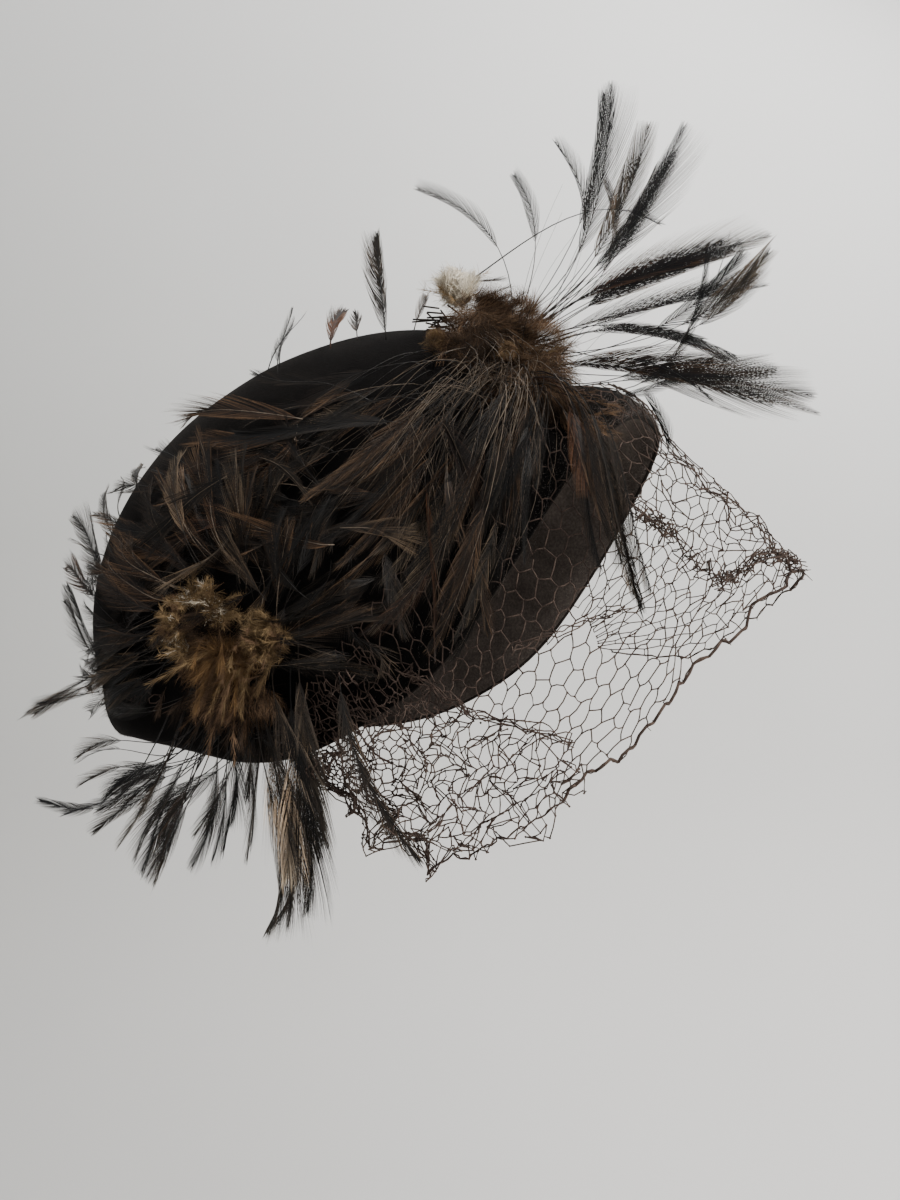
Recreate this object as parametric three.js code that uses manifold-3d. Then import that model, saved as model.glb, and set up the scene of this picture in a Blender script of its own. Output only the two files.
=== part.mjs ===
// A cocktail hat (fascinator) of dark brown fur felt with two bunches of hackle
// feathers and a coarse hexagonal veiling net over the wearer's face.
//
// Millimetres, +Z up. The wearer faces -Y and the wearer's right side is -X, where
// the feathers are. The origin is the point inside the crown that the top of the
// head bears on.
import * as THREE from 'three';
import { mergeVertices } from 'three/addons/utils/BufferGeometryUtils.js';
import Module from 'manifold-3d';

const wasm = await Module();
wasm.setup();

// ---------- Driving dimensions ----------

const HAT_TILT = 31.6; // degrees that the crown's axis leans back
const HAT_CENTRE = new THREE.Vector3(0, 25.3, -90.7);
const CROWN = { halfWidth: 92, halfLength: 119, rise: 89 };
const FELT = 2.4;
const WALL_TOP = 11; // height above the hat's centre where crown turns into wall
const WALL_TAPER = 0.09; // share that the wall draws in by, 50 mm below the centre
const TAPER_DEPTH = 50;

// The felt's lower edge, by angle from the front (positive on the wearer's right).
// drop: mm below the hat's centre. flare: how far the visor stands out, as a share
// of the crown's radius there.
const EDGE = [
  { angle: -180, drop: 13, flare: 0 },
  { angle: -150, drop: 19, flare: 0 },
  { angle: -135, drop: 33, flare: 0 },
  { angle: -120, drop: 52, flare: 0 },
  { angle: -90, drop: 66, flare: 0 },
  { angle: -66, drop: 60, flare: 0.04 },
  { angle: -52, drop: 46, flare: 0.12 },
  { angle: -40, drop: 32, flare: 0.19 },
  { angle: -25, drop: 22, flare: 0.21 },
  { angle: 0, drop: 16, flare: 0.17 },
  { angle: 25, drop: 20, flare: 0.20 },
  { angle: 40, drop: 32, flare: 0.18 },
  { angle: 52, drop: 47, flare: 0.12 },
  { angle: 66, drop: 61, flare: 0.04 },
  { angle: 90, drop: 67, flare: 0 },
  { angle: 120, drop: 55, flare: 0 },
  { angle: 135, drop: 33, flare: 0 },
  { angle: 150, drop: 18, flare: 0 },
];

const AROUND = 48; // facets round the felt
const CROWN_ROWS = 8;
const WALL_ROWS = 5;

// The veil, by its share of the way from the right ear (0) to the left temple (1).
// angle: where it crosses the felt's edge. lap: how much of the wall's height it
// covers. out, forward, down: the free edge from the origin. belly: how far its
// middle stands off the straight line from felt to free edge.
const VEIL = [
  { share: 0.00, angle: 108, lap: 0.16, out: 91, forward: -10, down: 160, belly: 3 },
  { share: 0.12, angle: 92, lap: 0.30, out: 95, forward: 16, down: 182, belly: 7 },
  { share: 0.25, angle: 76, lap: 0.42, out: 94, forward: 44, down: 196, belly: 11 },
  { share: 0.38, angle: 60, lap: 0.50, out: 86, forward: 74, down: 180, belly: 15 },
  { share: 0.50, angle: 44, lap: 0.52, out: 66, forward: 103, down: 157, belly: 16 },
  { share: 0.62, angle: 27, lap: 0.52, out: 42, forward: 131, down: 122, belly: 12 },
  { share: 0.74, angle: 8, lap: 0.50, out: 6, forward: 161, down: 92, belly: 8 },
  { share: 0.84, angle: -14, lap: 0.50, out: -36, forward: 143, down: 108, belly: 10 },
  { share: 0.92, angle: -36, lap: 0.46, out: -70, forward: 108, down: 128, belly: 10 },
  { share: 1.00, angle: -60, lap: 0.30, out: -91, forward: 62, down: 128, belly: 6 },
];
const NET = { thick: 1.2, bar: 2.6, cellsAlong: 14, cellsDown: 7, stand: 1.9 };

// Feather locks are long flat rhombic strips with pointed ends.
const LOCK = { thick: 1.5, gap: 0.35, steps: 5, tuftSteps: 2 };
const TUFT_DETAIL = 2; // facet level of a round core
const SMALL_DETAIL = 1; // the same for a core of a smaller radius than SMALL_CORE
const SMALL_CORE = 12;
const SEAT_GAP = 0.3;

// The spray's quills from the front tie. forward, up, out: the tip from the
// origin. bow: how far the quill arches up at its middle. width: of the vane.
const SPRAY = [
  { forward: 6, up: 66, out: 10, bow: 10, width: 4 },
  { forward: 40, up: 76, out: -20, bow: 6, width: 4 },
  { forward: 67, up: 76, out: 20, bow: 2, width: 5 },
  { forward: 74, up: 81, out: -30, bow: -3, width: 4 },
  { forward: 87, up: 99, out: 15, bow: -9, width: 7 },
  { forward: 97, up: 94, out: -25, bow: -6, width: 5 },
  { forward: 119, up: 75, out: 30, bow: -10, width: 6 },
  { forward: 115, up: 58, out: -10, bow: -4, width: 7 },
  { forward: 137, up: 31, out: 40, bow: 12, width: 6 },
  { forward: 145, up: 46, out: -30, bow: 6, width: 8 },
  { forward: 148, up: 29, out: 8, bow: 12, width: 8 },
  { forward: 149, up: 14, out: 28, bow: 16, width: 7 },
  { forward: 104, up: 20, out: 20, bow: 8, width: 8 },
  { forward: 128, up: -6, out: 36, bow: 14, width: 7 },
  { forward: 168, up: -34, out: 20, bow: 24, width: 9 },
  { forward: 162, up: -44, out: 38, bow: 22, width: 7 },
  { forward: 149, up: -32, out: 0, bow: 22, width: 6 },
];

// Hackles that lie over the felt from the side tuft: sweeps of locks whose tips
// run evenly from one place on the felt to another.
const SIDE_SWEEPS = [
  { locks: 5, fromAngle: 46, fromPart: 1.96, toAngle: 60, toPart: 1.9, rise: 9, width: 8 },
  { locks: 7, fromAngle: 66, fromPart: 1.66, toAngle: 92, toPart: 1.04, rise: 12, width: 9 },
  { locks: 4, fromAngle: 84, fromPart: 0.86, toAngle: 54, toPart: 0.62, rise: 10, width: 8 },
];
// The locks that fall from it over the visor's edge, by their tips.
const TEMPLE_FALL = [
  { forward: 101, down: 106, out: 84, bow: 10, width: 6 },
  { forward: 92, down: 70, out: 84, bow: 12, width: 6 },
];
// Sweeps from the back tuft.
const BACK_SWEEPS = [
  { locks: 4, fromAngle: 78, fromPart: 1.86, toAngle: 80, toPart: 1.56, rise: 8, width: 8 },
  { locks: 5, fromAngle: 84, fromPart: 1.22, toAngle: 104, toPart: 0.76, rise: 12, width: 9 },
  { locks: 4, fromAngle: 132, fromPart: 0.86, toAngle: 150, toPart: 1.5, rise: 9, width: 9 },
];

// Hackles that follow the felt round to a place on its back and then stand past
// it: back, up and out are their tips from the origin.
const BACK_SPIKES = [
  { overAngle: 148, overPart: 0.92, back: 154, up: -66, out: 20, width: 6 },
  { overAngle: 146, overPart: 0.78, back: 132, up: -55, out: 26, width: 6 },
  { overAngle: 142, overPart: 0.62, back: 114, up: -38, out: 12, width: 5 },
  { overAngle: 128, overPart: 0.46, back: 79, up: -12, out: 12, width: 5 },
  { overAngle: 150, overPart: 1.12, back: 147, up: -98, out: 30, width: 7 },
  { overAngle: 152, overPart: 1.5, back: 150, up: -151, out: 48, width: 6 },
];
// Tips that stand past the top of the crown, from the front tuft.
const TOP_SPIKES = [
  { back: 14, up: 49, out: 4, bow: 6, width: 6 },
  { back: 25, up: 16, out: 12, bow: 12, width: 7 },
  { back: 49, up: 16, out: 8, bow: 16, width: 5 },
];
// The plume that hangs below the edge, by its tips.
const PLUME = [
  { back: 144, down: 186, out: 52, bow: 12, width: 6 },
  { back: 111, down: 195, out: 64, bow: 10, width: 8 },
  { back: 82, down: 211, out: 76, bow: 8, width: 8 },
  { back: 71, down: 213, out: 82, bow: 4, width: 9 },
  { back: 58, down: 203, out: 86, bow: 2, width: 9 },
  { back: 45, down: 207, out: 89, bow: 2, width: 9 },
  { back: 25, down: 225, out: 93, bow: 4, width: 10 },
  { back: 10, down: 220, out: 96, bow: 6, width: 9 },
  { back: -39, down: 193, out: 112, bow: 10, width: 7 },
];

// ---------- The hat's form ----------

const rad = THREE.MathUtils.degToRad;

// Smooth value of one column of a table, between its rows.
function column(table, key, at, name, wrap = 0) {
  const rows = table.length;
  const value = (i) => table[((i % rows) + rows) % rows][name];
  const place = (i) => table[((i % rows) + rows) % rows][key] + wrap * Math.floor(i / rows);
  let i = 0;
  while (i < rows - (wrap ? 1 : 2) && place(i + 1) <= at) {
    i += 1;
  }
  const before = wrap ? i - 1 : Math.max(i - 1, 0);
  const after = wrap ? i + 2 : Math.min(i + 2, rows - 1);
  const span = place(i + 1) - place(i);
  const t = (at - place(i)) / span;
  const slopeIn = ((value(i + 1) - value(before)) / (place(i + 1) - place(before))) * span;
  const slopeOut = ((value(after) - value(i)) / (place(after) - place(i))) * span;
  const t2 = t * t;
  const t3 = t2 * t;
  return (2 * t3 - 3 * t2 + 1) * value(i) + (t3 - 2 * t2 + t) * slopeIn
    + (3 * t2 - 2 * t3) * value(i + 1) + (t3 - t2) * slopeOut;
}

function edgeValue(angle, name) {
  const wrapped = THREE.MathUtils.euclideanModulo(angle + 180, 360) - 180;
  return Math.max(0, column(EDGE, 'angle', wrapped, name, 360));
}

function toPartFrame(local) {
  return local.applyAxisAngle(new THREE.Vector3(1, 0, 0), -rad(HAT_TILT)).add(HAT_CENTRE);
}

// A point on the felt's outside. part runs 0 to 1 down the crown and 1 to 2 down
// the wall and visor.
function feltPoint(angle, part) {
  let height;
  let radius;
  if (part <= 1) {
    const polar = part * Math.acos(WALL_TOP / CROWN.rise);
    height = CROWN.rise * Math.cos(polar);
    radius = Math.sin(polar);
  } else {
    const t = part - 1;
    const flare = edgeValue(angle, 'flare');
    const ease = 1 + 0.35 * Math.min(1, flare / 0.15);
    height = WALL_TOP - (edgeValue(angle, 'drop') + WALL_TOP) * t ** ease;
    radius = height > 0
      ? Math.sqrt(1 - (height / CROWN.rise) ** 2)
      : 1 - WALL_TAPER * (height / TAPER_DEPTH) ** 2;
    radius += flare * Math.sin((Math.PI / 2) * t);
  }
  const x = -CROWN.halfWidth * radius * Math.sin(rad(angle));
  const y = -CROWN.halfLength * radius * Math.cos(rad(angle));
  return toPartFrame(new THREE.Vector3(x, y, height));
}

function feltNormal(angle, part) {
  const step = 0.01;
  const low = Math.max(part, 0.03);
  const along = feltPoint(angle + 1, low).sub(feltPoint(angle - 1, low));
  const down = feltPoint(angle, Math.min(low + step, 2)).sub(feltPoint(angle, low - step));
  return along.cross(down).normalize();
}

function overFelt(angle, part, height) {
  return feltPoint(angle, part).addScaledVector(feltNormal(angle, part), height);
}

// ---------- Closed meshes and solids ----------

function geometryFrom(points, triangles) {
  const geometry = new THREE.BufferGeometry();
  geometry.setAttribute('position', new THREE.Float32BufferAttribute(points.flat(), 3));
  geometry.setIndex(triangles.flat());
  return geometry;
}

function solidFrom(geometry) {
  const bare = geometry.clone();
  bare.deleteAttribute('normal');
  bare.deleteAttribute('uv');
  const merged = mergeVertices(bare, 1e-4);
  return new wasm.Manifold(new wasm.Mesh({
    numProp: 3,
    vertProperties: new Float32Array(merged.attributes.position.array),
    triVerts: new Uint32Array(merged.index.array),
  }));
}

function geometryOf(solid) {
  const mesh = solid.getMesh();
  const geometry = new THREE.BufferGeometry();
  geometry.setAttribute('position', new THREE.BufferAttribute(mesh.vertProperties, 3));
  geometry.setIndex(new THREE.BufferAttribute(mesh.triVerts, 1));
  return geometry;
}

// A dome: the felt's form moved out by `outer` and, if given, hollowed in by `inner`.
function domeGeometry(outer, inner = null) {
  const rows = CROWN_ROWS + WALL_ROWS;
  const points = [];
  const triangles = [];
  const layer = (height, flip) => {
    const start = points.length;
    points.push(overFelt(0, 0.03, height).lerp(overFelt(180, 0.03, height), 0.5).toArray());
    for (let r = 1; r <= rows; r += 1) {
      const part = r <= CROWN_ROWS ? r / CROWN_ROWS : 1 + (r - CROWN_ROWS) / WALL_ROWS;
      for (let a = 0; a < AROUND; a += 1) {
        points.push(overFelt((360 * a) / AROUND, part, height).toArray());
      }
    }
    const at = (r, a) => (r === 0 ? start : start + 1 + (r - 1) * AROUND + (a % AROUND));
    const face = (a, b, c) => triangles.push(flip ? [a, c, b] : [a, b, c]);
    for (let a = 0; a < AROUND; a += 1) {
      face(at(0, 0), at(1, a + 1), at(1, a));
      for (let r = 1; r < rows; r += 1) {
        face(at(r, a), at(r, a + 1), at(r + 1, a));
        face(at(r, a + 1), at(r + 1, a + 1), at(r + 1, a));
      }
    }
    return (a) => at(rows, a);
  };
  const rim = layer(outer, false);
  if (inner === null) {
    const middle = points.length;
    points.push(toPartFrame(new THREE.Vector3(0, 0, -20)).toArray());
    for (let a = 0; a < AROUND; a += 1) {
      triangles.push([rim(a), rim(a + 1), middle]);
    }
  } else {
    const lining = layer(inner, true);
    for (let a = 0; a < AROUND; a += 1) {
      triangles.push([rim(a), rim(a + 1), lining(a)], [rim(a + 1), lining(a + 1), lining(a)]);
    }
  }
  return geometryFrom(points, triangles);
}

// A flat rhombic strip along a curve, pointed at both ends. `flat` gives the
// direction out of the vane; `grow` thickens it all round.
function lockSolid({ curve, width, flat, steps = LOCK.steps }, grow = 0) {
  const points = [curve.getPoint(0).toArray()];
  const triangles = [];
  for (let i = 1; i < steps; i += 1) {
    const t = i / steps;
    const centre = curve.getPoint(t);
    const side = curve.getTangent(t).cross(flat).normalize();
    const out = side.clone().cross(curve.getTangent(t)).normalize();
    const half = (width / 2) * Math.sin(Math.PI * t ** 0.7) ** 0.6 + grow;
    const thin = (LOCK.thick / 2) * (1 - 0.5 * t) + grow;
    points.push(centre.clone().addScaledVector(side, half).toArray());
    points.push(centre.clone().addScaledVector(out, thin).toArray());
    points.push(centre.clone().addScaledVector(side, -half).toArray());
    points.push(centre.clone().addScaledVector(out, -thin).toArray());
  }
  const tip = points.length;
  points.push(curve.getPoint(1).toArray());
  for (let k = 0; k < 4; k += 1) {
    const next = (k + 1) % 4;
    triangles.push([0, 1 + k, 1 + next]);
    for (let i = 1; i < steps - 1; i += 1) {
      const a = 1 + (i - 1) * 4;
      triangles.push([a + k, a + 4 + k, a + next], [a + next, a + 4 + k, a + 4 + next]);
    }
    const last = 1 + (steps - 2) * 4;
    triangles.push([last + k, tip, last + next]);
  }
  return solidFrom(geometryFrom(points, triangles));
}

function ball(centre, radii, turn = 0, grow = 0) {
  const detail = radii[1] < SMALL_CORE ? SMALL_DETAIL : TUFT_DETAIL;
  const geometry = new THREE.IcosahedronGeometry(1, detail);
  geometry.scale(radii[0] + grow, radii[1] + grow, radii[2] + grow);
  geometry.rotateX(turn);
  geometry.translate(centre.x, centre.y, centre.z);
  return solidFrom(geometry);
}

// ---------- Assembly ----------

const feltClear = solidFrom(domeGeometry(SEAT_GAP));
let taken = null; // everything placed so far, grown by the gap between pieces

function take(solid) {
  taken = taken === null ? solid : taken.add(solid);
}

function biggest(solid) {
  const pieces = solid.decompose();
  return pieces.reduce((best, piece) => (piece.volume() > best.volume() ? piece : best));
}

// A bunch: round cores and locks joined into one solid that is seated on the felt
// and keeps clear of the bunches made before it. A lock that would cross one of
// them is left out.
function bunch(cores, locks) {
  let solid = null;
  let grown = null;
  for (const core of cores) {
    const plain = ball(core.centre, core.radii, core.turn);
    const fat = ball(core.centre, core.radii, core.turn, LOCK.gap);
    solid = solid === null ? plain : solid.add(plain);
    grown = grown === null ? fat : grown.add(fat);
  }
  for (const lock of locks) {
    const plain = lockSolid(lock);
    if (taken !== null && !taken.intersect(plain).isEmpty()) {
      continue;
    }
    solid = solid.add(plain);
    grown = grown.add(lockSolid(lock, LOCK.gap));
  }
  solid = solid.subtract(feltClear);
  if (taken !== null) {
    solid = solid.subtract(taken);
  }
  take(grown);
  return geometryOf(biggest(solid));
}

// A lock through open air, from a root to a tip, arched by `bow` along `lift`.
function airLock(root, tip, bow, lift, width, flat) {
  const middle = root.clone().lerp(tip, 0.5).addScaledVector(lift, 2 * bow);
  return { curve: new THREE.QuadraticBezierCurve3(root, middle, tip), width, flat };
}

// Locks that follow the felt from a root on it to the tips of each sweep.
function sweepLocks(root, sweeps) {
  const locks = [];
  for (const sweep of sweeps) {
    for (let i = 0; i < sweep.locks; i += 1) {
      const t = sweep.locks === 1 ? 0.5 : i / (sweep.locks - 1);
      const angle = THREE.MathUtils.lerp(sweep.fromAngle, sweep.toAngle, t);
      const part = THREE.MathUtils.lerp(sweep.fromPart, sweep.toPart, t);
      const lift = sweep.rise * (0.75 + 0.25 * Math.cos(5 * i));
      const path = [];
      for (let k = 0; k <= 4; k += 1) {
        const s = k / 4;
        const height = root.height + (lift - root.height) * Math.sin((Math.PI / 2) * s);
        path.push(overFelt(
          THREE.MathUtils.lerp(root.angle, angle, s),
          THREE.MathUtils.lerp(root.part, part, s),
          height,
        ));
      }
      locks.push({
        curve: new THREE.CatmullRomCurve3(path),
        width: sweep.width,
        flat: feltNormal((root.angle + angle) / 2, (root.part + part) / 2),
      });
    }
  }
  return locks;
}

// Short locks all round a tuft's core, spaced by the golden angle.
function tuftLocks(core, count, length, width, away) {
  const locks = [];
  const turn = Math.PI * (3 - Math.sqrt(5));
  for (let i = 0; i < count; i += 1) {
    const z = 1 - (1.6 * (i + 0.5)) / count;
    const ring = Math.sqrt(1 - z * z);
    const spread = new THREE.Vector3(ring * Math.cos(turn * i), ring * Math.sin(turn * i), z);
    const towards = new THREE.Quaternion().setFromUnitVectors(new THREE.Vector3(0, 0, 1), away);
    spread.applyQuaternion(towards);
    const reach = core.radii[0] + length * (0.8 + 0.2 * Math.cos(7 * i));
    const tip = core.centre.clone().addScaledVector(spread, reach);
    const flat = new THREE.Vector3(0, 0, 1).cross(spread).normalize();
    const lock = airLock(core.centre.clone(), tip, 0, flat, width, flat);
    locks.push({ ...lock, steps: LOCK.tuftSteps });
  }
  return locks;
}

function node(name, geometry, color, roughness) {
  const material = new THREE.MeshStandardMaterial({ color, roughness, metalness: 0 });
  geometry.computeVertexNormals();
  const mesh = new THREE.Mesh(geometry, material);
  mesh.name = name;
  return mesh;
}

// ---------- The veil ----------

// A point of the veil: `share` along it and `fall` from its upper edge (0) to its
// free edge (1), `lift` mm out from the sheet's middle.
function veilPoint(share, fall) {
  const value = (name) => column(VEIL, 'share', share, name);
  const angle = value('angle');
  const lap = value('lap');
  const free = new THREE.Vector3(-value('out'), -value('forward'), -value('down'));
  const brink = overFelt(angle, 2, NET.stand);
  const onFelt = 0.3; // share of the fall that lies on the felt
  if (fall < onFelt) {
    return overFelt(angle, 2 - lap * (1 - fall / onFelt), NET.stand);
  }
  const t = (fall - onFelt) / (1 - onFelt);
  const away = new THREE.Vector3(free.x, free.y, 0).normalize();
  return brink.lerp(free, t).addScaledVector(away, 4 * value('belly') * t * (1 - t));
}

function veilGeometry() {
  const { thick, bar, cellsAlong, cellsDown } = NET;
  const points = [];
  const triangles = [];
  const known = new Map();
  const height = cellsDown * 1.5 + 0.5;
  const width = cellsAlong + 0.5;
  const sheetPoint = (a, b) => {
    const share = THREE.MathUtils.clamp(a / width, 0, 1);
    return veilPoint(share, THREE.MathUtils.clamp(b / height, 0, 1));
  };
  const pair = (a, b, towards = null, inset = 0) => {
    const key = `${Math.round(a * 12)},${Math.round(b * 12)},${towards === null ? '' : towards.key}`;
    if (known.has(key)) {
      return known.get(key);
    }
    const e = 0.05;
    const along = sheetPoint(a + e, b).sub(sheetPoint(a - e, b));
    const down = sheetPoint(a, b + e).sub(sheetPoint(a, b - e));
    const normal = down.cross(along).normalize();
    const place = sheetPoint(a, b);
    if (towards !== null) {
      const way = towards.point.clone().sub(place);
      place.addScaledVector(way, Math.min(inset / way.length(), 0.6));
    }
    const start = points.length;
    points.push(place.clone().addScaledVector(normal, thick / 2).toArray());
    points.push(place.clone().addScaledVector(normal, -thick / 2).toArray());
    known.set(key, start);
    return start;
  };
  const edges = new Map();
  for (let j = 0; j < cellsDown; j += 1) {
    for (let i = 0; i < cellsAlong; i += 1) {
      const a = i + 0.5 + (j % 2 ? 0.5 : 0);
      const b = 1 + 1.5 * j;
      const ways = [[0, -1], [0.5, -0.5], [0.5, 0.5], [0, 1], [-0.5, 0.5], [-0.5, -0.5]];
      const towards = { point: sheetPoint(a, b), key: `${i}:${j}` };
      const outer = ways.map(([da, db]) => pair(a + da, b + db));
      const inner = ways.map(([da, db]) => pair(a + da, b + db, towards, bar / 2));
      for (let k = 0; k < 6; k += 1) {
        const n = (k + 1) % 6;
        const [o, p, q, r] = [outer[k], outer[n], inner[n], inner[k]];
        triangles.push([o, q, p], [o, r, q]);
        triangles.push([o + 1, p + 1, q + 1], [o + 1, q + 1, r + 1]);
        triangles.push([r, q + 1, q], [r, r + 1, q + 1]);
        const back = `${p},${o}`;
        if (edges.has(back)) {
          edges.delete(back);
        } else {
          edges.set(`${o},${p}`, [o, p]);
        }
      }
    }
  }
  for (const [o, p] of edges.values()) {
    triangles.push([o, p, p + 1], [o, p + 1, o + 1]);
  }
  return geometryFrom(points, triangles);
}

// ---------- The pieces ----------

const fascinator = new THREE.Group();
const upward = new THREE.Vector3(0, 0, 1);

fascinator.add(node('felt_hat', domeGeometry(0, -FELT), 0x24201d, 0.95));

const veilMesh = veilGeometry();
fascinator.add(node('veil', veilMesh, 0x3a2a20, 0.8));
take(solidFrom(veilMesh));

function core(angle, part, height, radii) {
  return { centre: overFelt(angle, part, height), radii, turn: -rad(HAT_TILT) };
}

const frontAway = feltNormal(9, 0.73);
const pom = core(9, 0.72, 9, [17, 18, 14]);
const paleTuft = core(6, 0.60, 24, [7, 10, 8]);
fascinator.add(node('front_tuft', bunch([pom, paleTuft], [
  ...tuftLocks(pom, 18, 9, 8, frontAway),
  ...TOP_SPIKES.map((row) => airLock(
    pom.centre.clone(),
    new THREE.Vector3(-row.out, row.back, row.up),
    row.bow,
    upward,
    row.width,
    new THREE.Vector3(1, 0, 0),
  )),
]), 0x5a4630, 0.9));

const tie = core(12, 0.92, 6, [8, 9, 7]);
fascinator.add(node('front_spray', bunch([tie], SPRAY.map((row) => airLock(
  tie.centre.clone(),
  new THREE.Vector3(-row.out, -row.forward, row.up),
  row.bow,
  upward,
  row.width,
  new THREE.Vector3(1, 0, 0),
))), 0x2b2521, 0.7));

const sideRoot = { angle: 36, part: 1.16, height: 8 };
const sideAway = feltNormal(sideRoot.angle, sideRoot.part);
const sideTuft = core(sideRoot.angle, sideRoot.part, sideRoot.height, [12, 16, 14]);
fascinator.add(node('side_hackles', bunch([sideTuft], [
  ...sweepLocks(sideRoot, SIDE_SWEEPS),
  ...TEMPLE_FALL.map((row) => airLock(
    sideTuft.centre.clone(),
    new THREE.Vector3(-row.out, -row.forward, -row.down),
    row.bow,
    sideAway,
    row.width,
    sideAway,
  )),
]), 0x3b2c21, 0.8));

const backRoot = { angle: 103, part: 1.36, height: 9 };
const backTuft = core(backRoot.angle, backRoot.part, backRoot.height, [12, 20, 17]);
const backAway = feltNormal(backRoot.angle, backRoot.part);
fascinator.add(node('back_tuft', bunch([backTuft], tuftLocks(backTuft, 16, 9, 8, backAway)),
  0x6b4c2c, 0.9));

const fanRoot = { angle: 112, part: 1.12, height: 5 };
const fanCore = core(fanRoot.angle, fanRoot.part, fanRoot.height, [6, 7, 6]);
fascinator.add(node('back_hackles', bunch([fanCore], [
  ...sweepLocks(fanRoot, BACK_SWEEPS),
  ...BACK_SPIKES.map((row) => ({
    curve: new THREE.CatmullRomCurve3([
      fanCore.centre.clone(),
      overFelt((fanRoot.angle + row.overAngle) / 2, (fanRoot.part + row.overPart) / 2, 9),
      overFelt(row.overAngle, row.overPart, 8),
      new THREE.Vector3(-row.out, row.back, row.up),
    ]),
    width: row.width,
    flat: feltNormal(row.overAngle, row.overPart),
  })),
]), 0x2e2823, 0.75));

const plumeRoot = core(108, 1.82, 8, [7, 9, 7]);
fascinator.add(node('hanging_plume', bunch([plumeRoot], PLUME.map((row) => airLock(
  plumeRoot.centre.clone(),
  new THREE.Vector3(-row.out, row.back, -row.down),
  row.bow,
  new THREE.Vector3(-1, 0, 0),
  row.width,
  new THREE.Vector3(1, 0, 0),
))), 0x2d2621, 0.7));

export default fascinator;
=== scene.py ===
import math
from collections import namedtuple

import bpy
import numpy as np
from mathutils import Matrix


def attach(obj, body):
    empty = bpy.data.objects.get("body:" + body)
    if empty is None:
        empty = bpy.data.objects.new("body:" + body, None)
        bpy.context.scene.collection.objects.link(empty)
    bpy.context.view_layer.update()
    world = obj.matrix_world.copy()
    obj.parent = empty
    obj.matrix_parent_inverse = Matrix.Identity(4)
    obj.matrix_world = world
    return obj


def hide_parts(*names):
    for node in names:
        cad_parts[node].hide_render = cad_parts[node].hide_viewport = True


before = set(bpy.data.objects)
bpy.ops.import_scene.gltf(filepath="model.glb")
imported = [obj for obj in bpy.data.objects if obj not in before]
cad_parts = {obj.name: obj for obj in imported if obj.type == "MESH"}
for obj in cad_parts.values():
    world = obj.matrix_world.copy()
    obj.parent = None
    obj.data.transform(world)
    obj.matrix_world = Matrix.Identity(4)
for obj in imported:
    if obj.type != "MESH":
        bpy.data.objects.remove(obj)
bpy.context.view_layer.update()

# A felt cocktail hat with hackle feathers and a net veil. The shapes are worked
# out in millimetres in the frame's axes (+Z up, the wearer faces -Y, the feathers
# are on the -X side) and turned into metres when a mesh is made.
MM = 0.001
rng = np.random.default_rng(11)

# ---------- The hat's form, as in the CAD source ----------

HAT_TILT = math.radians(31.6)
HAT_CENTRE = np.array([0.0, 25.3, -90.7])
HALF_WIDTH, HALF_LENGTH, RISE = 92.0, 119.0, 89.0
FELT = 2.4  # the felt's thickness
WALL_TOP = 11.0  # where the crown ends and the wall starts, above the hat's centre
WALL_TAPER, TAPER_DEPTH = 0.09, 50.0  # share of the radius that the wall draws in, and how deep
# Only here: the back's wall bulges a little and turns in at its edge, by shares of the
# radius. This starts at an angle from the front and is complete some degrees on.
BACK_FULLNESS, BACK_ROUNDING = 0.030, 0.030
BACK_STARTS, BACK_EASES = 100, 35

# Angle from the front (positive on the wearer's right), how far the edge drops
# below the hat's centre, and how far the visor flares as a share of the radius.
EDGE = np.array([
    (-180, 13, 0.00),
    (-150, 19, 0.00),
    (-135, 33, 0.00),
    (-120, 52, 0.00),
    (-90, 66, 0.00),
    (-66, 60, 0.04),
    (-52, 46, 0.12),
    (-40, 32, 0.19),
    (-25, 22, 0.21),
    (0, 16, 0.17),
    (25, 20, 0.20),
    (40, 32, 0.18),
    (52, 47, 0.12),
    (66, 61, 0.04),
    (90, 67, 0.00),
    (120, 55, 0.00),
    (135, 33, 0.00),
    (150, 18, 0.00),
])

# Share of the way along the veil, from the right ear to the left temple; the angle
# where it crosses the felt's edge; how much of the wall it laps; its free edge out,
# forward and down from the origin; and how far its middle stands off.
VEIL = np.array([
    (0.00, 108, 0.16, 91, -10, 160, 3),
    (0.12, 92, 0.30, 95, 16, 182, 7),
    (0.25, 76, 0.42, 94, 44, 196, 11),
    (0.38, 60, 0.50, 86, 74, 180, 15),
    (0.50, 44, 0.52, 66, 103, 157, 16),
    (0.62, 27, 0.52, 42, 131, 122, 12),
    (0.74, 8, 0.50, 6, 161, 92, 8),
    (0.84, -14, 0.50, -36, 143, 108, 10),
    (0.92, -36, 0.46, -70, 108, 128, 10),
    (1.00, -60, 0.30, -91, 62, 128, 6),
])


def column(table, at, index, wrap=0.0):
    """Smooth value of one column of a table at each place in the first column."""
    keys = table[:, 0]
    values = table[:, index]
    if wrap:
        keys = np.concatenate([keys[-2:] - wrap, keys, keys[:3] + wrap])
        values = np.concatenate([values[-2:], values, values[:3]])
    slopes = np.gradient(values, keys)
    i = np.clip(np.searchsorted(keys, at, side="right") - 1, 0, len(keys) - 2)
    span = keys[i + 1] - keys[i]
    t = (at - keys[i]) / span
    return ((2 * t**3 - 3 * t**2 + 1) * values[i] + (t**3 - 2 * t**2 + t) * span * slopes[i]
            + (3 * t**2 - 2 * t**3) * values[i + 1] + (t**3 - t**2) * span * slopes[i + 1])


def edge_value(angle, index):
    return np.maximum(column(EDGE, (angle + 180) % 360 - 180, index, 360.0), 0)


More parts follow.
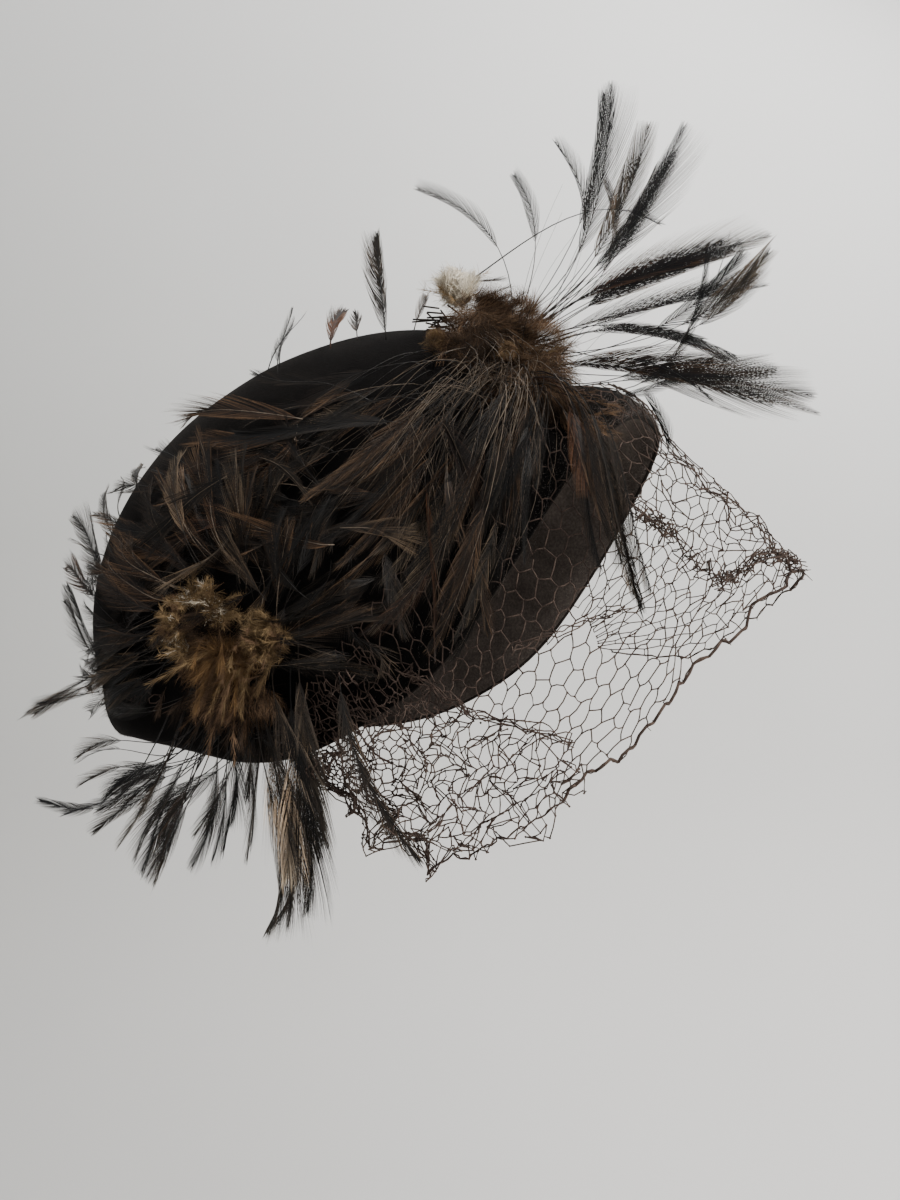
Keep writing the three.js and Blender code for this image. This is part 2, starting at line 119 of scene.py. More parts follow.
def felt_point(angle, part):
    """Places on the felt's outside: part runs 0 to 1 down the crown, 1 to 2 down the
    wall and visor, and on past 2 in a straight line."""
    angle, part = np.broadcast_arrays(np.asarray(angle, float), np.asarray(part, float))
    turn = np.radians(angle)
    polar = np.clip(part, 0, 1) * math.acos(WALL_TOP / RISE)
    t = np.maximum(part - 1, 0)
    flare = edge_value(angle, 2)
    ease = 1 + 0.35 * np.minimum(1, flare / 0.15)
    height = np.where(part <= 1, RISE * np.cos(polar),
                      WALL_TOP - (edge_value(angle, 1) + WALL_TOP) * t**ease)
    dome = np.sqrt(np.clip(1 - (height / RISE) ** 2, 0, 1))
    wall = np.where(height > 0, dome, 1 - WALL_TAPER * (height / TAPER_DEPTH) ** 2)
    wall = wall + flare * np.sin(np.pi / 2 * np.minimum(t, 1.6))
    behind = np.clip((np.abs((angle + 180) % 360 - 180) - BACK_STARTS) / BACK_EASES, 0, 1)
    late = np.clip((t - 0.86) / 0.14, 0, 1)
    wall = wall + behind * (BACK_FULLNESS * np.sin(0.85 * np.pi * np.minimum(t, 1) ** 1.5)
                            - BACK_ROUNDING * (1 - np.sqrt(1 - 0.98 * late**2)))
    radius = np.where(part <= 1, np.sin(polar), wall)
    return to_frame(np.stack([-HALF_WIDTH * radius * np.sin(turn),
                              -HALF_LENGTH * radius * np.cos(turn), height], -1))


def to_frame(local):
    c, s = math.cos(HAT_TILT), math.sin(HAT_TILT)
    x, y, z = local[..., 0], local[..., 1], local[..., 2]
    return np.stack([x, y * c + z * s, -y * s + z * c], -1) + HAT_CENTRE


def unit(v):
    return v / np.maximum(np.linalg.norm(v, axis=-1, keepdims=True), 1e-9)


def felt_normal(angle, part):
    part = np.maximum(part, 0.02)
    along = felt_point(angle + 0.5, part) - felt_point(angle - 0.5, part)
    down = felt_point(angle, part + 0.005) - felt_point(angle, part - 0.005)
    return unit(np.cross(along, down))


def over_felt(angle, part, height):
    height = np.asarray(height, float)[..., None] if np.ndim(height) else height
    return felt_point(angle, part) + felt_normal(angle, part) * height


# ---------- Camera, light and backdrop ----------

VIEW = math.radians(-73.0)
CAMERA_DISTANCE = 625.0
CAMERA_ASIDE = 17.1  # how far the camera stands to picture right of the origin
CAMERA_BELOW = 103.3


def make_camera():
    back = np.array([math.sin(VIEW), -math.cos(VIEW), 0.0])
    right = np.array([math.cos(VIEW), math.sin(VIEW), 0.0])
    spot = CAMERA_DISTANCE * back + CAMERA_ASIDE * right - np.array([0, 0, CAMERA_BELOW])
    data = bpy.data.cameras.new("camera")
    data.lens = 45.0
    data.sensor_width = 36.0
    data.clip_start = 0.01
    camera = bpy.data.objects.new("camera", data)
    camera.location = spot * MM
    camera.rotation_euler = (math.pi / 2, 0.0, VIEW)
    bpy.context.collection.objects.link(camera)
    bpy.context.scene.camera = camera


def in_view(right, up, near):
    """A place given to picture right, up and towards the camera from the origin, in metres."""
    return (right * math.cos(VIEW) + near * math.sin(VIEW),
            right * math.sin(VIEW) - near * math.cos(VIEW), up)


# Round area lamps that face the hat: name; place to picture right, up and towards the
# camera, in metres; size; power; colour.
LAMPS = [
    ("key", (0.9, 1.3, 0.9), 0.6, 52, (1.0, 0.975, 0.94)),
    ("fill", (-1.2, 0.5, 1.4), 1.6, 8, (0.97, 0.985, 1.0)),
    ("rim", (0.6, 0.9, -0.7), 0.7, 10, (1.0, 0.99, 0.97)),
    ("low", (0.9, -0.75, 0.35), 0.8, 16, (1.0, 0.95, 0.90)),
]
LAMP_TARGET = np.array(in_view(0.0, -0.06, 0.0))
SKY_COLOUR, SKY_STRENGTH = (0.97, 0.98, 1.0, 1.0), 0.80


def make_light():
    for name, spot, size, power, colour in LAMPS:
        data = bpy.data.lights.new(name, "AREA")
        data.shape = "DISK"
        data.size = size
        data.energy = power
        data.color = colour
        lamp = bpy.data.objects.new(name, data)
        lamp.location = in_view(*spot)
        x, y, z = LAMP_TARGET - np.array(in_view(*spot))
        lamp.rotation_euler = (math.atan2(math.hypot(x, y), -z), 0.0, math.atan2(y, x) - math.pi / 2)
        bpy.context.collection.objects.link(lamp)
    world = bpy.data.worlds.new("studio")
    world.use_nodes = True
    sky = world.node_tree.nodes["Background"]
    sky.inputs["Color"].default_value = SKY_COLOUR
    sky.inputs["Strength"].default_value = SKY_STRENGTH
    bpy.context.scene.world = world


make_camera()
make_light()

# ---------- Materials ----------


class Shading:
    """A node material under construction."""

    def __init__(self, name):
        self.material = bpy.data.materials.new(name)
        self.material.use_nodes = True
        self.tree = self.material.node_tree
        self.shader = self.tree.nodes["Principled BSDF"]

    def node(self, kind, **settings):
        made = self.tree.nodes.new(kind)
        for key, value in settings.items():
            if key in made.inputs:
                made.inputs[key].default_value = value
            else:
                setattr(made, key, value)
        return made

    def link(self, out, into):
        self.tree.links.new(out, into)

    def noise(self, scale, detail=3.0):
        spot = self.node("ShaderNodeTexCoord")
        noise = self.node("ShaderNodeTexNoise", Scale=scale, Detail=detail)
        self.link(spot.outputs["Object"], noise.inputs["Vector"])
        return noise.outputs["Fac"]

    def shade(self):
        """The tone that each feather, barb or fibre carries of its own, from 0 to 1."""
        return self.node("ShaderNodeAttribute", attribute_name="shade").outputs["Fac"]

    def ramp(self, factor, stops):
        """Colours at stops along the factor, where a plain number is a grey."""
        ramp = self.node("ShaderNodeValToRGB")
        points = ramp.color_ramp.elements
        while len(points) < len(stops):
            points.new(0.5)
        for point, (at, colour) in zip(points, stops):
            point.position = at
            point.color = (*(colour if isinstance(colour, tuple) else 3 * (colour,)), 1.0)
        self.link(factor, ramp.inputs["Fac"])
        return ramp.outputs["Color"]

    def multiply(self, a, b, share=1.0):
        mix = self.node("ShaderNodeMix", data_type="RGBA", blend_type="MULTIPLY")
        for socket, value in [(6, a), (7, b)]:
            self.link(value, mix.inputs[socket])
        mix.inputs[0].default_value = share
        return mix.outputs[2]

    def bump(self, height, strength, distance):
        bump = self.node("ShaderNodeBump", Strength=strength, Distance=distance)
        self.link(height, bump.inputs["Height"])
        self.link(bump.outputs["Normal"], self.shader.inputs["Normal"])

    def set(self, **values):
        for key, value in values.items():
            self.shader.inputs[key.replace("_", " ")].default_value = value


def felt_material(name, dark, light):
    s = Shading(name)
    tone = s.ramp(s.noise(38.0, 4.0), [(0.30, dark), (0.72, light)])
    nap = s.ramp(s.noise(900.0), [(0.35, 0.45), (0.70, 1.0)])
    s.link(s.multiply(tone, nap, 0.75), s.shader.inputs["Base Color"])
    s.bump(s.noise(1400.0, 4.0), 0.55, 0.0006)
    s.set(Roughness=0.95, Sheen_Weight=0.035, Sheen_Roughness=0.4, Specular_IOR_Level=0.04,
          Sheen_Tint=(0.42, 0.36, 0.32, 1.0))
    return s.material


def feather_material(name, dark, mid, light, tip=(0.90, 0.88, 0.84)):
    """A vane: darker along the quill, lighter at the barbs' ends, warmer at the vane's
    foot, with cloudy patches and a tone of its own for each feather."""
    s = Shading(name)
    uv = s.node("ShaderNodeUVMap")
    parts = s.node("ShaderNodeSeparateXYZ")
    s.link(uv.outputs["UV"], parts.inputs["Vector"])
    tone = s.ramp(parts.outputs["Y"], [(0.0, dark), (0.40, mid), (1.0, light)])
    for factor, stops in [
            (parts.outputs["X"], [(0.35, (1.2, 1.05, 0.92)), (0.95, tip)]),
            (s.shade(), [(0.0, (0.16, 0.16, 0.17)), (0.5, 0.52), (0.8, (1.25, 1.2, 1.15)),
                         (1.0, (3.0, 2.85, 2.6))]),
            (s.noise(60.0), [(0.35, 0.6), (0.68, (1.2, 1.16, 1.1))]),
            (s.noise(1200.0, 2.0), [(0.3, 0.75), (0.7, 1.0)])]:
        tone = s.multiply(tone, s.ramp(factor, stops))
    s.link(tone, s.shader.inputs["Base Color"])
    s.bump(s.noise(2200.0, 2.0), 0.25, 0.0002)
    s.set(Roughness=0.55, Specular_IOR_Level=0.16)
    return s.material


def fibre_material(name, dark, light, scale=120.0, roughness=0.8):
    s = Shading(name)
    tone = s.ramp(s.noise(scale), [(0.32, dark), (0.68, light)])
    for factor, stops in [(s.noise(1500.0, 2.0), [(0.3, 0.6), (0.7, 1.0)]),
                          (s.shade(), [(0.0, (0.6, 0.58, 0.55)), (1.0, (1.4, 1.42, 1.45))])]:
        tone = s.multiply(tone, s.ramp(factor, stops))
    s.link(tone, s.shader.inputs["Base Color"])
    s.bump(s.noise(2600.0, 2.0), 0.3, 0.0002)
    s.set(Roughness=roughness, Specular_IOR_Level=0.12)
    return s.material


FELT_SKIN = felt_material("fur_felt", (0.0018, 0.0017, 0.0017), (0.0052, 0.0046, 0.0043))
# The felt's inside is the same felt painted many times lighter than its outside: painted light
# standing in for the light that reaches the hollow under the visor.
FELT_INSIDE_PAINTED_LIGHT = felt_material("felt_inside_painted_light", (0.056, 0.046, 0.040), (0.130, 0.108, 0.095))
FELT_CUT = felt_material("felt_cut_edge", (0.007, 0.006, 0.005), (0.021, 0.017, 0.015))
# Fuzz colour far paler than the felt: a painted highlight for backlit fuzz at the visor's edge.
FUZZ_PAINTED_HIGHLIGHT = fibre_material("felt_fuzz_painted_highlight", (0.09, 0.075, 0.066), (0.24, 0.205, 0.185), 200.0)
THREAD = fibre_material("veil_thread", (0.030, 0.020, 0.016), (0.088, 0.061, 0.048), 260.0)
QUILL_END = fibre_material("quill_end", (0.006, 0.005, 0.004), (0.028, 0.020, 0.014), 300.0, 0.5)
FEATHERS = [
    feather_material("hackle_black", (0.0034, 0.0029, 0.0025), (0.0066, 0.0054, 0.0045),
                     (0.015, 0.0122, 0.010)),
    feather_material("hackle_brown", (0.008, 0.005, 0.0034), (0.026, 0.0172, 0.0112),
                     (0.062, 0.043, 0.029)),
    feather_material("hackle_rust", (0.014, 0.007, 0.0045), (0.036, 0.0185, 0.011),
                     (0.052, 0.031, 0.020)),
    feather_material("hackle_grey", (0.0105, 0.0086, 0.0068), (0.030, 0.0248, 0.0196),
                     (0.070, 0.059, 0.047)),
    feather_material("hackle_pale", (0.045, 0.037, 0.029), (0.140, 0.122, 0.101),
                     (0.300, 0.274, 0.238)),
    feather_material("hackle_ink", (0.0035, 0.0035, 0.0038), (0.007, 0.007, 0.0076),
                     (0.016, 0.016, 0.0172), tip=(0.86, 0.88, 0.92)),
    # The pale quill colour is partly the quills' own and partly a painted highlight for the glossy
    # shine along them.
    fibre_material("quill_pale_highlight", (0.060, 0.044, 0.031), (0.170, 0.132, 0.096), 300.0, 0.35),
    fibre_material("quill_dark", (0.007, 0.006, 0.005), (0.022, 0.018, 0.015), 300.0, 0.4),
]
BLACK, BROWN, RUST, GREY, PALE, INK, QUILL_PALE_HIGHLIGHT, QUILL_DARK = range(8)
DOWN = [
    fibre_material("down_pale", (0.60, 0.51, 0.38), (0.93, 0.86, 0.72)),
    fibre_material("down_tan", (0.14, 0.088, 0.042), (0.38, 0.26, 0.135)),
    fibre_material("down_olive", (0.070, 0.043, 0.020), (0.215, 0.145, 0.072)),
    fibre_material("down_brown", (0.052, 0.029, 0.016), (0.190, 0.116, 0.066)),
    fibre_material("down_amber", (0.050, 0.027, 0.011), (0.185, 0.105, 0.044)),
    fibre_material("down_dark", (0.014, 0.009, 0.006), (0.056, 0.036, 0.023)),
]
PALE_DOWN, TAN_DOWN, OLIVE_DOWN, BROWN_DOWN, AMBER_DOWN, DARK_DOWN = range(6)

# ---------- Mesh helpers ----------


class Bag:
    """Triangles of many small meshes, kept until they become one object."""

    def __init__(self):
        self.verts, self.faces, self.uvs, self.slots, self.shades = [], [], [], [], []
        self.count = 0

    def add(self, verts, faces, uvs, slot, shade=0.5):
        self.verts.append(verts)
        self.faces.append(faces + self.count)
        self.uvs.append(uvs)
        self.slots.append(np.broadcast_to(np.asarray(slot, np.int32), len(faces)))
        self.shades.append(np.broadcast_to(np.asarray(shade, np.float32), len(verts)))
        self.count += len(verts)

    def build(self, name, materials, slot_name, *node_names):
        faces = np.concatenate(self.faces).astype(np.int32)
        uvs = np.concatenate(self.uvs)
        piece = mesh_object(name, np.concatenate(self.verts) * MM, faces, materials)
        mesh = piece.data
        mesh.polygons.foreach_set("material_index", np.concatenate(self.slots))
        layer = mesh.uv_layers.new(name="UVMap")
        layer.data.foreach_set("uv", uvs[faces.ravel()].astype(np.float32).ravel())
        shade = mesh.attributes.new("shade", "FLOAT", "POINT")
        shade.data.foreach_set("value", np.concatenate(self.shades))
        mesh.update()
        settle(piece, node_names)


def mesh_object(name, verts, faces, materials):
    mesh = bpy.data.meshes.new(name)
    corners = faces.shape[1]
    mesh.vertices.add(len(verts))
    mesh.vertices.foreach_set("co", verts.astype(np.float32).ravel())
    mesh.loops.add(faces.size)
    mesh.loops.foreach_set("vertex_index", faces.astype(np.int32).ravel())
    mesh.polygons.add(len(faces))
    mesh.polygons.foreach_set("loop_start", np.arange(0, faces.size, corners, dtype=np.int32))
    mesh.update(calc_edges=True)
    for material in materials:
        mesh.materials.append(material)
    mesh.polygons.foreach_set("use_smooth", np.ones(len(faces), bool))
    piece = bpy.data.objects.new(name, mesh)
    bpy.context.collection.objects.link(piece)
    return piece


def settle(piece, node_names=()):
    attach(piece, "root")
    if node_names:
        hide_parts(*node_names)


def frames_along(line, hint):
    """Tangents, sides and normals of a polyline, with the normals near `hint`."""
    tangent = unit(np.gradient(line, axis=0))
    side = unit(np.cross(tangent, hint))
    return tangent, side, np.cross(side, tangent)


def at_share(line, share):
    """Places along a polyline's points by share of its number of points."""
    step = np.clip(share, 0, 1) * (len(line) - 1)
    i = np.minimum(step.astype(int), len(line) - 2)
    t = (step - i)[:, None]
    return line[i] * (1 - t) + line[i + 1] * t


def line_length(line):
    return np.linalg.norm(np.diff(line, axis=0), axis=1).sum()


def add_tube(bag, line, radii, sides, slot, hint=(0.3, 0.2, 0.93), shade=0.5):
    """A tube along a polyline, closed with a point at each end."""
    _, side, normal = frames_along(line, np.array(hint))
    turns = np.arange(sides) * 2 * np.pi / sides
    ring = (np.cos(turns)[None, :, None] * side[:, None]
            + np.sin(turns)[None, :, None] * normal[:, None])
    verts = line[:, None] + ring * np.asarray(radii)[:, None, None]
    rows = len(line)
    verts = np.concatenate([verts.reshape(-1, 3), line[:1], line[-1:]])
    k = np.arange(sides)
    n = (k + 1) % sides
    row = np.arange(rows - 1)[:, None] * sides
    a, b = row + k, row + n
    walls = np.concatenate([np.stack([a, b, a + sides], -1).reshape(-1, 3),
                            np.stack([b, b + sides, a + sides], -1).reshape(-1, 3)])
    start, end = rows * sides, rows * sides + 1
    last = (rows - 1) * sides
    caps = np.concatenate([np.stack([n, k, np.full(sides, start)], -1),
                           np.stack([last + k, last + n, np.full(sides, end)], -1)])
    share = np.repeat(np.linspace(0, 1, rows), sides)
    uvs = np.stack([np.append(share, [0, 1]), np.zeros(rows * sides + 2)], -1)
    bag.add(verts, np.concatenate([walls, caps]), uvs, slot, shade)


def add_ribbons(bag, points, aside, widths, slot, along, shade=0.5):
    """Thin pointed ribbons, given by (ribbon, step) places: `widths` are the half widths
    at each step but the last, which is a point; `along` goes into the UV map."""
    count, steps = points.shape[:2]
    spread = aside[:, None] * np.asarray(widths, float)[None, :, None]
    body = np.stack([points[:, :-1] - spread, points[:, :-1] + spread], 2).reshape(count, -1, 3)
    verts = np.concatenate([body, points[:, -1:]], 1)
    corners = 2 * steps - 1
    pattern = []
    for j in range(0, corners - 3, 2):
        pattern += [(j, j + 1, j + 3), (j, j + 3, j + 2)]
    pattern.append((corners - 3, corners - 2, corners - 1))
    faces = (np.arange(count)[:, None, None] * corners + np.array(pattern)[None]).reshape(-1, 3)
    across = np.append(np.repeat(np.linspace(0, 1, steps)[:-1], 2), 1.0)
    uvs = np.stack([np.repeat(along, corners), np.tile(across, count)], -1)
    slot = np.repeat(slot, len(pattern)) if np.ndim(slot) else slot
    shade = np.repeat(shade, corners) if np.ndim(shade) else shade
    bag.add(verts.reshape(-1, 3), faces, uvs, slot, shade)


def smooth_noise(count, period):
    """`count` values of about unit size that wander over `period` of them."""
    knots = rng.normal(size=max(int(count / period) + 3, 4))
    step = np.linspace(0, len(knots) - 1.001, count)
    i = step.astype(int)
    t = step - i
    t = t * t * (3 - 2 * t)
    return knots[i] * (1 - t) + knots[i + 1] * t


# ---------- Feathers ----------

QUILL_STEPS = 14
BARB_STEPS = np.array([0.0, 0.35, 0.7, 1.0])
BARB_TAPER = np.array([1.0, 0.8, 0.45])
BARB_BEND = 0.34  # how far a barb turns back towards the quill
CLUMP = 9  # barbs that cling together at their tips

# How far a barb strays from its angle, in degrees: with its neighbours, towards the
# middle of its clump, and alone. And how far its tone does, with them and alone.
STRAY_TOGETHER, STRAY_CLUMPED, STRAY_ALONE = 2.6, 4.0, 0.7
TONE_TOGETHER, TONE_ALONE = 0.16, 0.20

# Kinds of vane: the gap between barbs and their half width; the barbs' angles to the
# quill at the vane's foot and tip; how loose they are; how early the vane narrows to its
# point; how much narrower one side may be; the longest barb as a share of the vane.
Vane = namedtuple("Vane", "gap barb splay loose point lean long")
SPRAY_VANE = Vane(0.95, 0.120, (29, 16), 0.25, 0.28, 0.95, 0.62)
PLUME_VANE = Vane(0.80, 0.100, (24, 11), 0.60, 0.50, 0.50, 0.50)
WEB_VANE = Vane(0.60, 0.100, (21, 11), 0.80, 0.60, 0.50, 0.50)
HACKLE_VANE = Vane(1.00, 0.105, (28, 13), 1.00, 0.60, 0.40, 0.50)
WISP_VANE = Vane(1.00, 0.120, (26, 13), 0.45, 0.40, 0.70, 0.65)


def add_feather(bag, line, hint, half_width, bare, slot, vane=HACKLE_VANE, quill=0.3,
                quill_slot=None):
    """One hackle: a tapered quill with separate barbs down both sides.
    bare: share of the quill without barbs."""
    tangent, side, normal = frames_along(line, hint)
    share = np.linspace(0, 1, len(line))
    shade = rng.random()
    quill_slot = slot if quill_slot is None else quill_slot
    add_tube(bag, line, quill * (1 - share) ** 0.7 + 0.06, 3, quill_slot, hint, shade)
    vane_length = line_length(line) * (1 - bare)
    barbs = max(int(vane_length / vane.gap), 8)
    full = rng.choice([-1.0, 1.0])
    for way in (-1.0, 1.0):
        u = (np.arange(barbs) + rng.uniform(0, 0.5, barbs)) / barbs
        t = bare + (1 - bare) * u * 0.99
        root = at_share(line, t)
        along, aside, out = (at_share(f, t) for f in (tangent, side, normal))
        in_clump = (np.arange(barbs) / CLUMP + 0.35 * smooth_noise(barbs, 2 * CLUMP)) % 1
        low, high = vane.splay
        stray = (STRAY_TOGETHER * smooth_noise(barbs, 12) + STRAY_CLUMPED * (in_clump - 0.5)
                 + STRAY_ALONE * rng.normal(size=barbs))
        splay = np.radians(np.clip(low + (high - low) * u**0.7 + vane.loose * stray, 3, 80))
        profile = np.minimum(1, 0.45 + u / 0.22) * (1 - u) ** vane.point + 0.10
        profile = profile * (1 if way == full else 1 - vane.lean * rng.random())
        reach = half_width * profile / ((1 - BARB_BEND) * np.sin(np.maximum(splay, 0.12)))
        reach = np.minimum(reach, np.minimum(vane.long, 1.02 * (1 - u)) * vane_length + 2.5)
        reach *= 1 + vane.loose * (0.05 * rng.normal(size=barbs) + 0.07 * smooth_noise(barbs, 6))
        lift = 0.06 + vane.loose * (0.05 * smooth_noise(barbs, 10) + 0.02 * rng.normal(size=barbs))
        s = BARB_STEPS[None, :, None]
        r, lift, c, d = (v[:, None, None] for v in (reach, lift, np.cos(splay), np.sin(splay)))
        points = (root[:, None] + along[:, None] * r * (c * s + 0.06 * s**2)
                  + aside[:, None] * way * r * d * (s - BARB_BEND * s**2)
                  + out[:, None] * r * lift * s**1.5)
        spread = aside * c[:, 0] - along * way * d[:, 0]
        tone = (shade + TONE_TOGETHER * smooth_noise(barbs, 4)
                + TONE_ALONE * rng.normal(size=barbs))
        add_ribbons(bag, points, spread, vane.barb * BARB_TAPER, slot, t, np.clip(tone, 0, 1))


def bezier(a, b, c, d, steps=QUILL_STEPS):
    t = np.linspace(0, 1, steps)[:, None]
    return (1 - t) ** 3 * a + 3 * (1 - t) ** 2 * t * b + 3 * (1 - t) * t**2 * c + t**3 * d


def swept(start, launch, tip, arrive, lead=0.35, lag=0.35):
    """A line that leaves start along launch and comes to tip along arrive."""
    far = np.linalg.norm(tip - start)
    return bezier(start, start + launch * far * lead, tip - arrive * far * lag, tip)


def place(forward, up, out):
    """A place given forward, up and out to the wearer's right, from the origin."""
    return np.array([-out, -forward, up], float)


def heading(degrees, out=0.0):
    """A direction in the side view: 0 is forward, 90 is up."""
    turn = math.radians(degrees)
    return unit(np.array([-out, -math.cos(turn), math.sin(turn)]))


def add_plumule(bag, line, reach, count, slot, splay=(25, 65), curl=0.35, fine=0.06):
    """A downy feather: a thin stem with soft curling barbs on every side."""
    tangent, side, normal = frames_along(line, np.array([0.31, 0.52, 0.79]))
    add_tube(bag, line, np.linspace(0.14, 0.05, len(line)), 3, slot)
    t = rng.uniform(0.05, 1, count)
    along, aside, out = (at_share(f, t) for f in (tangent, side, normal))
    roll = rng.uniform(0, 2 * np.pi, count)[:, None]
    around = np.cos(roll) * aside + np.sin(roll) * out
    open_by = np.radians(rng.uniform(*splay, count))[:, None]
    way = np.cos(open_by) * along + np.sin(open_by) * around
    size = reach * (0.5 + 0.5 * np.sin(np.pi * t**0.8)) * rng.uniform(0.55, 1.15, count)
    bend = along * 0.25 + curl * rng.normal(size=(count, 3))
    s = BARB_STEPS[None, :, None]
    points = at_share(line, t)[:, None] + size[:, None, None] * (way[:, None] * s
                                                                 + bend[:, None] * s**2)
    spread = unit(np.cross(way, rng.normal(size=(count, 3))))
    add_ribbons(bag, points, spread, fine * np.array([1, 0.9, 0.7]), slot, t, rng.random())


def add_down(bag, centre, patch, ways, stems, length, reach, barbs, slots, **looks):
    """A downy tuft: plumules from a patch round `centre`, each along one of `ways`
    (a direction and how far it strays)."""
    for _ in range(stems):
        away, stray = ways[rng.integers(len(ways))]
        root = centre + rng.normal(size=3) * np.array(patch)
        way = unit(np.array(away) + stray * rng.normal(size=3))
        size = length * rng.uniform(0.6, 1.15)
        bend = rng.normal(size=3) * size * 0.12
        steps = np.linspace(0, 1, 6)[:, None]
        line = root + way * size * steps + bend * steps**2
        add_plumule(bag, line, reach * rng.uniform(0.75, 1.2), barbs, rng.choice(slots), **looks)


# ---------- The felt ----------

FELT_AROUND = 256
CROWN_ROWS, WALL_ROWS, EDGE_ROWS = 44, 30, 5


def felt_wave(angle, part):
    """Gentle unevenness of blocked felt, in mm."""
    turn = np.radians(angle)
    wave = 0.35 * np.sin(3 * turn + 4.1 * part) + 0.25 * np.sin(7 * turn - 2.3 * part + 1)
    return wave * np.sin(np.pi * np.clip(part / 2, 0, 1))


def make_felt():
    rows = np.append(np.linspace(0.02, 1, CROWN_ROWS), np.linspace(1, 2, WALL_ROWS)[1:])
    angles = np.arange(FELT_AROUND) * 360 / FELT_AROUND
    angle, part = np.meshgrid(angles, rows)
    wave = felt_wave(angle, part)
    thick = FELT * (1 - 0.25 * np.clip((part - 1.9) / 0.1, 0, 1))
    out = over_felt(angle, part, wave)
    lining = over_felt(angle, part, wave - thick)
    edge = (out[-1] + lining[-1]) / 2
    half = (out[-1] - lining[-1]) / 2
    down = unit(felt_point(angles, 2.0) - felt_point(angles, 1.99))
    rolls = np.linspace(0, np.pi, EDGE_ROWS + 2)[1:-1]
    lip = [edge + half * math.cos(r) + down * 0.8 * math.sin(r) for r in rolls]
    rings = np.concatenate([out, np.array(lip), lining[::-1]])
    count = len(rings)
    verts = np.concatenate([rings.reshape(-1, 3), out[:1].mean(1), lining[:1].mean(1)])
    top, bottom = len(verts) - 2, len(verts) - 1
    ring = np.arange(FELT_AROUND)
    after = (ring + 1) % FELT_AROUND
    row = np.repeat(np.arange(count - 1), FELT_AROUND)
    here = row * FELT_AROUND + np.tile(ring, count - 1)
    there = row * FELT_AROUND + np.tile(after, count - 1)
    last = (count - 1) * FELT_AROUND
    faces = np.concatenate([
        np.stack([here, there, there + FELT_AROUND], -1),
        np.stack([here, there + FELT_AROUND, here + FELT_AROUND], -1),
        np.stack([after, ring, np.full(FELT_AROUND, top)], -1),
        np.stack([last + ring, last + after, np.full(FELT_AROUND, bottom)], -1)])
    # The lining rows take the third material, the felt with painted light on it.
    piece = mesh_object("felt_body", verts * MM, faces, [FELT_SKIN, FELT_CUT, FELT_INSIDE_PAINTED_LIGHT])
    row_of = np.concatenate([row, row, 0 * ring, 0 * ring + count])
    inner = len(rows) + EDGE_ROWS
    slots = np.where(row_of >= inner, 2, np.where(row_of >= len(rows) - 1, 1, 0))
    piece.data.polygons.foreach_set("material_index", slots.astype(np.int32))
    piece.data.update()
    settle(piece, ["felt_hat"])


# Short fur: hairs, their half width and length, and the shares of them that stand on
# the edge and on the felt's inside.
NAP_HAIRS, NAP_HALF_WIDTH, NAP_LENGTH = 26000, 0.035, (0.35, 0.95)
NAP_AT_EDGE, NAP_INSIDE = 0.18, 0.22
# Longer fuzz by the visor's edge, half of it inside. Its pale colour is a painted highlight: the
# felt's own fuzz, coloured as if lit from behind.
FUZZ_HAIRS, FUZZ_HALF_WIDTH, FUZZ_LENGTH = 16000, 0.04, (0.8, 2.0)


def add_hairs(bag, root, tip, half_width):
    """One thin pointed triangle for each hair."""
    aside = unit(np.cross(tip - root, rng.normal(size=root.shape))) * half_width
    verts = np.stack([root - aside, root + aside, tip], 1).reshape(-1, 3)
    uvs = np.tile([(0.0, 0.0), (0.0, 0.0), (1.0, 1.0)], (len(root), 1))
    bag.add(verts, np.arange(len(verts)).reshape(-1, 3), uvs, 0)


def make_nap():
    """Short fur that stands off the felt, denser at its edge."""
    bag = Bag()
    angle = rng.uniform(-180, 180, NAP_HAIRS)
    part = 2 * rng.uniform(0.02, 1, NAP_HAIRS) ** 0.62
    part[rng.random(NAP_HAIRS) < NAP_AT_EDGE] = 1.99
    inside = rng.random(NAP_HAIRS) < NAP_INSIDE
    wave = felt_wave(angle, part)
    root = over_felt(angle, part, np.where(inside, wave - FELT, wave))
    normal = felt_normal(angle, part) * np.where(inside, -1.0, 1.0)[:, None]
    lean = rng.normal(size=root.shape) * 0.9
    size = rng.uniform(*NAP_LENGTH, NAP_HAIRS)[:, None]
    tip = root + unit(normal + lean) * size
    inward = ((tip - root) * normal).sum(1, keepdims=True) < 0
    add_hairs(bag, root, np.where(inward, root + normal * size * 0.5, tip), NAP_HALF_WIDTH)
    bag.build("felt_nap", [FELT_CUT], "felt")


def make_visor_fuzz():
    bag = Bag()
    angle = 34 * rng.normal(size=FUZZ_HAIRS)
    part = 2 - np.abs(0.16 * rng.normal(size=FUZZ_HAIRS))
    inside = rng.random(FUZZ_HAIRS) < 0.5
    root = over_felt(angle, part, felt_wave(angle, part) - np.where(inside, FELT, 0.0))
    normal = felt_normal(angle, part) * np.where(inside, -1.0, 1.0)[:, None]
    way = unit(normal + 0.5 * rng.normal(size=root.shape))
    add_hairs(bag, root, root + way * rng.uniform(*FUZZ_LENGTH, (FUZZ_HAIRS, 1)), FUZZ_HALF_WIDTH)
    # The fuzz takes the painted-highlight colour.
    bag.build("visor_fuzz", [FUZZ_PAINTED_HIGHLIGHT], "felt")


make_felt()
make_nap()
make_visor_fuzz()

# ---------- The veil ----------

NET_COLUMNS, NET_ROWS = 46, 17
THREAD_RADIUS = 0.25
ON_FELT = 0.3  # share of the veil's fall that lies on the felt
FELT_ROWS = 0.2  # share of the net's rows that lie there
VEIL_STAND = 1.9  # how far off the felt it lies, in mm
SAG, SAG_AT, SAG_SPREAD = 10.0, 0.74, 0.09  # the dip in front of the visor: mm, shares
# Share of the net's columns against share of the veil's length: gathered by the ear,
# open over the cheek.
NET_SPREAD = np.array([(0.00, 0.00), (0.26, 0.17), (0.74, 0.70), (1.00, 1.00)])
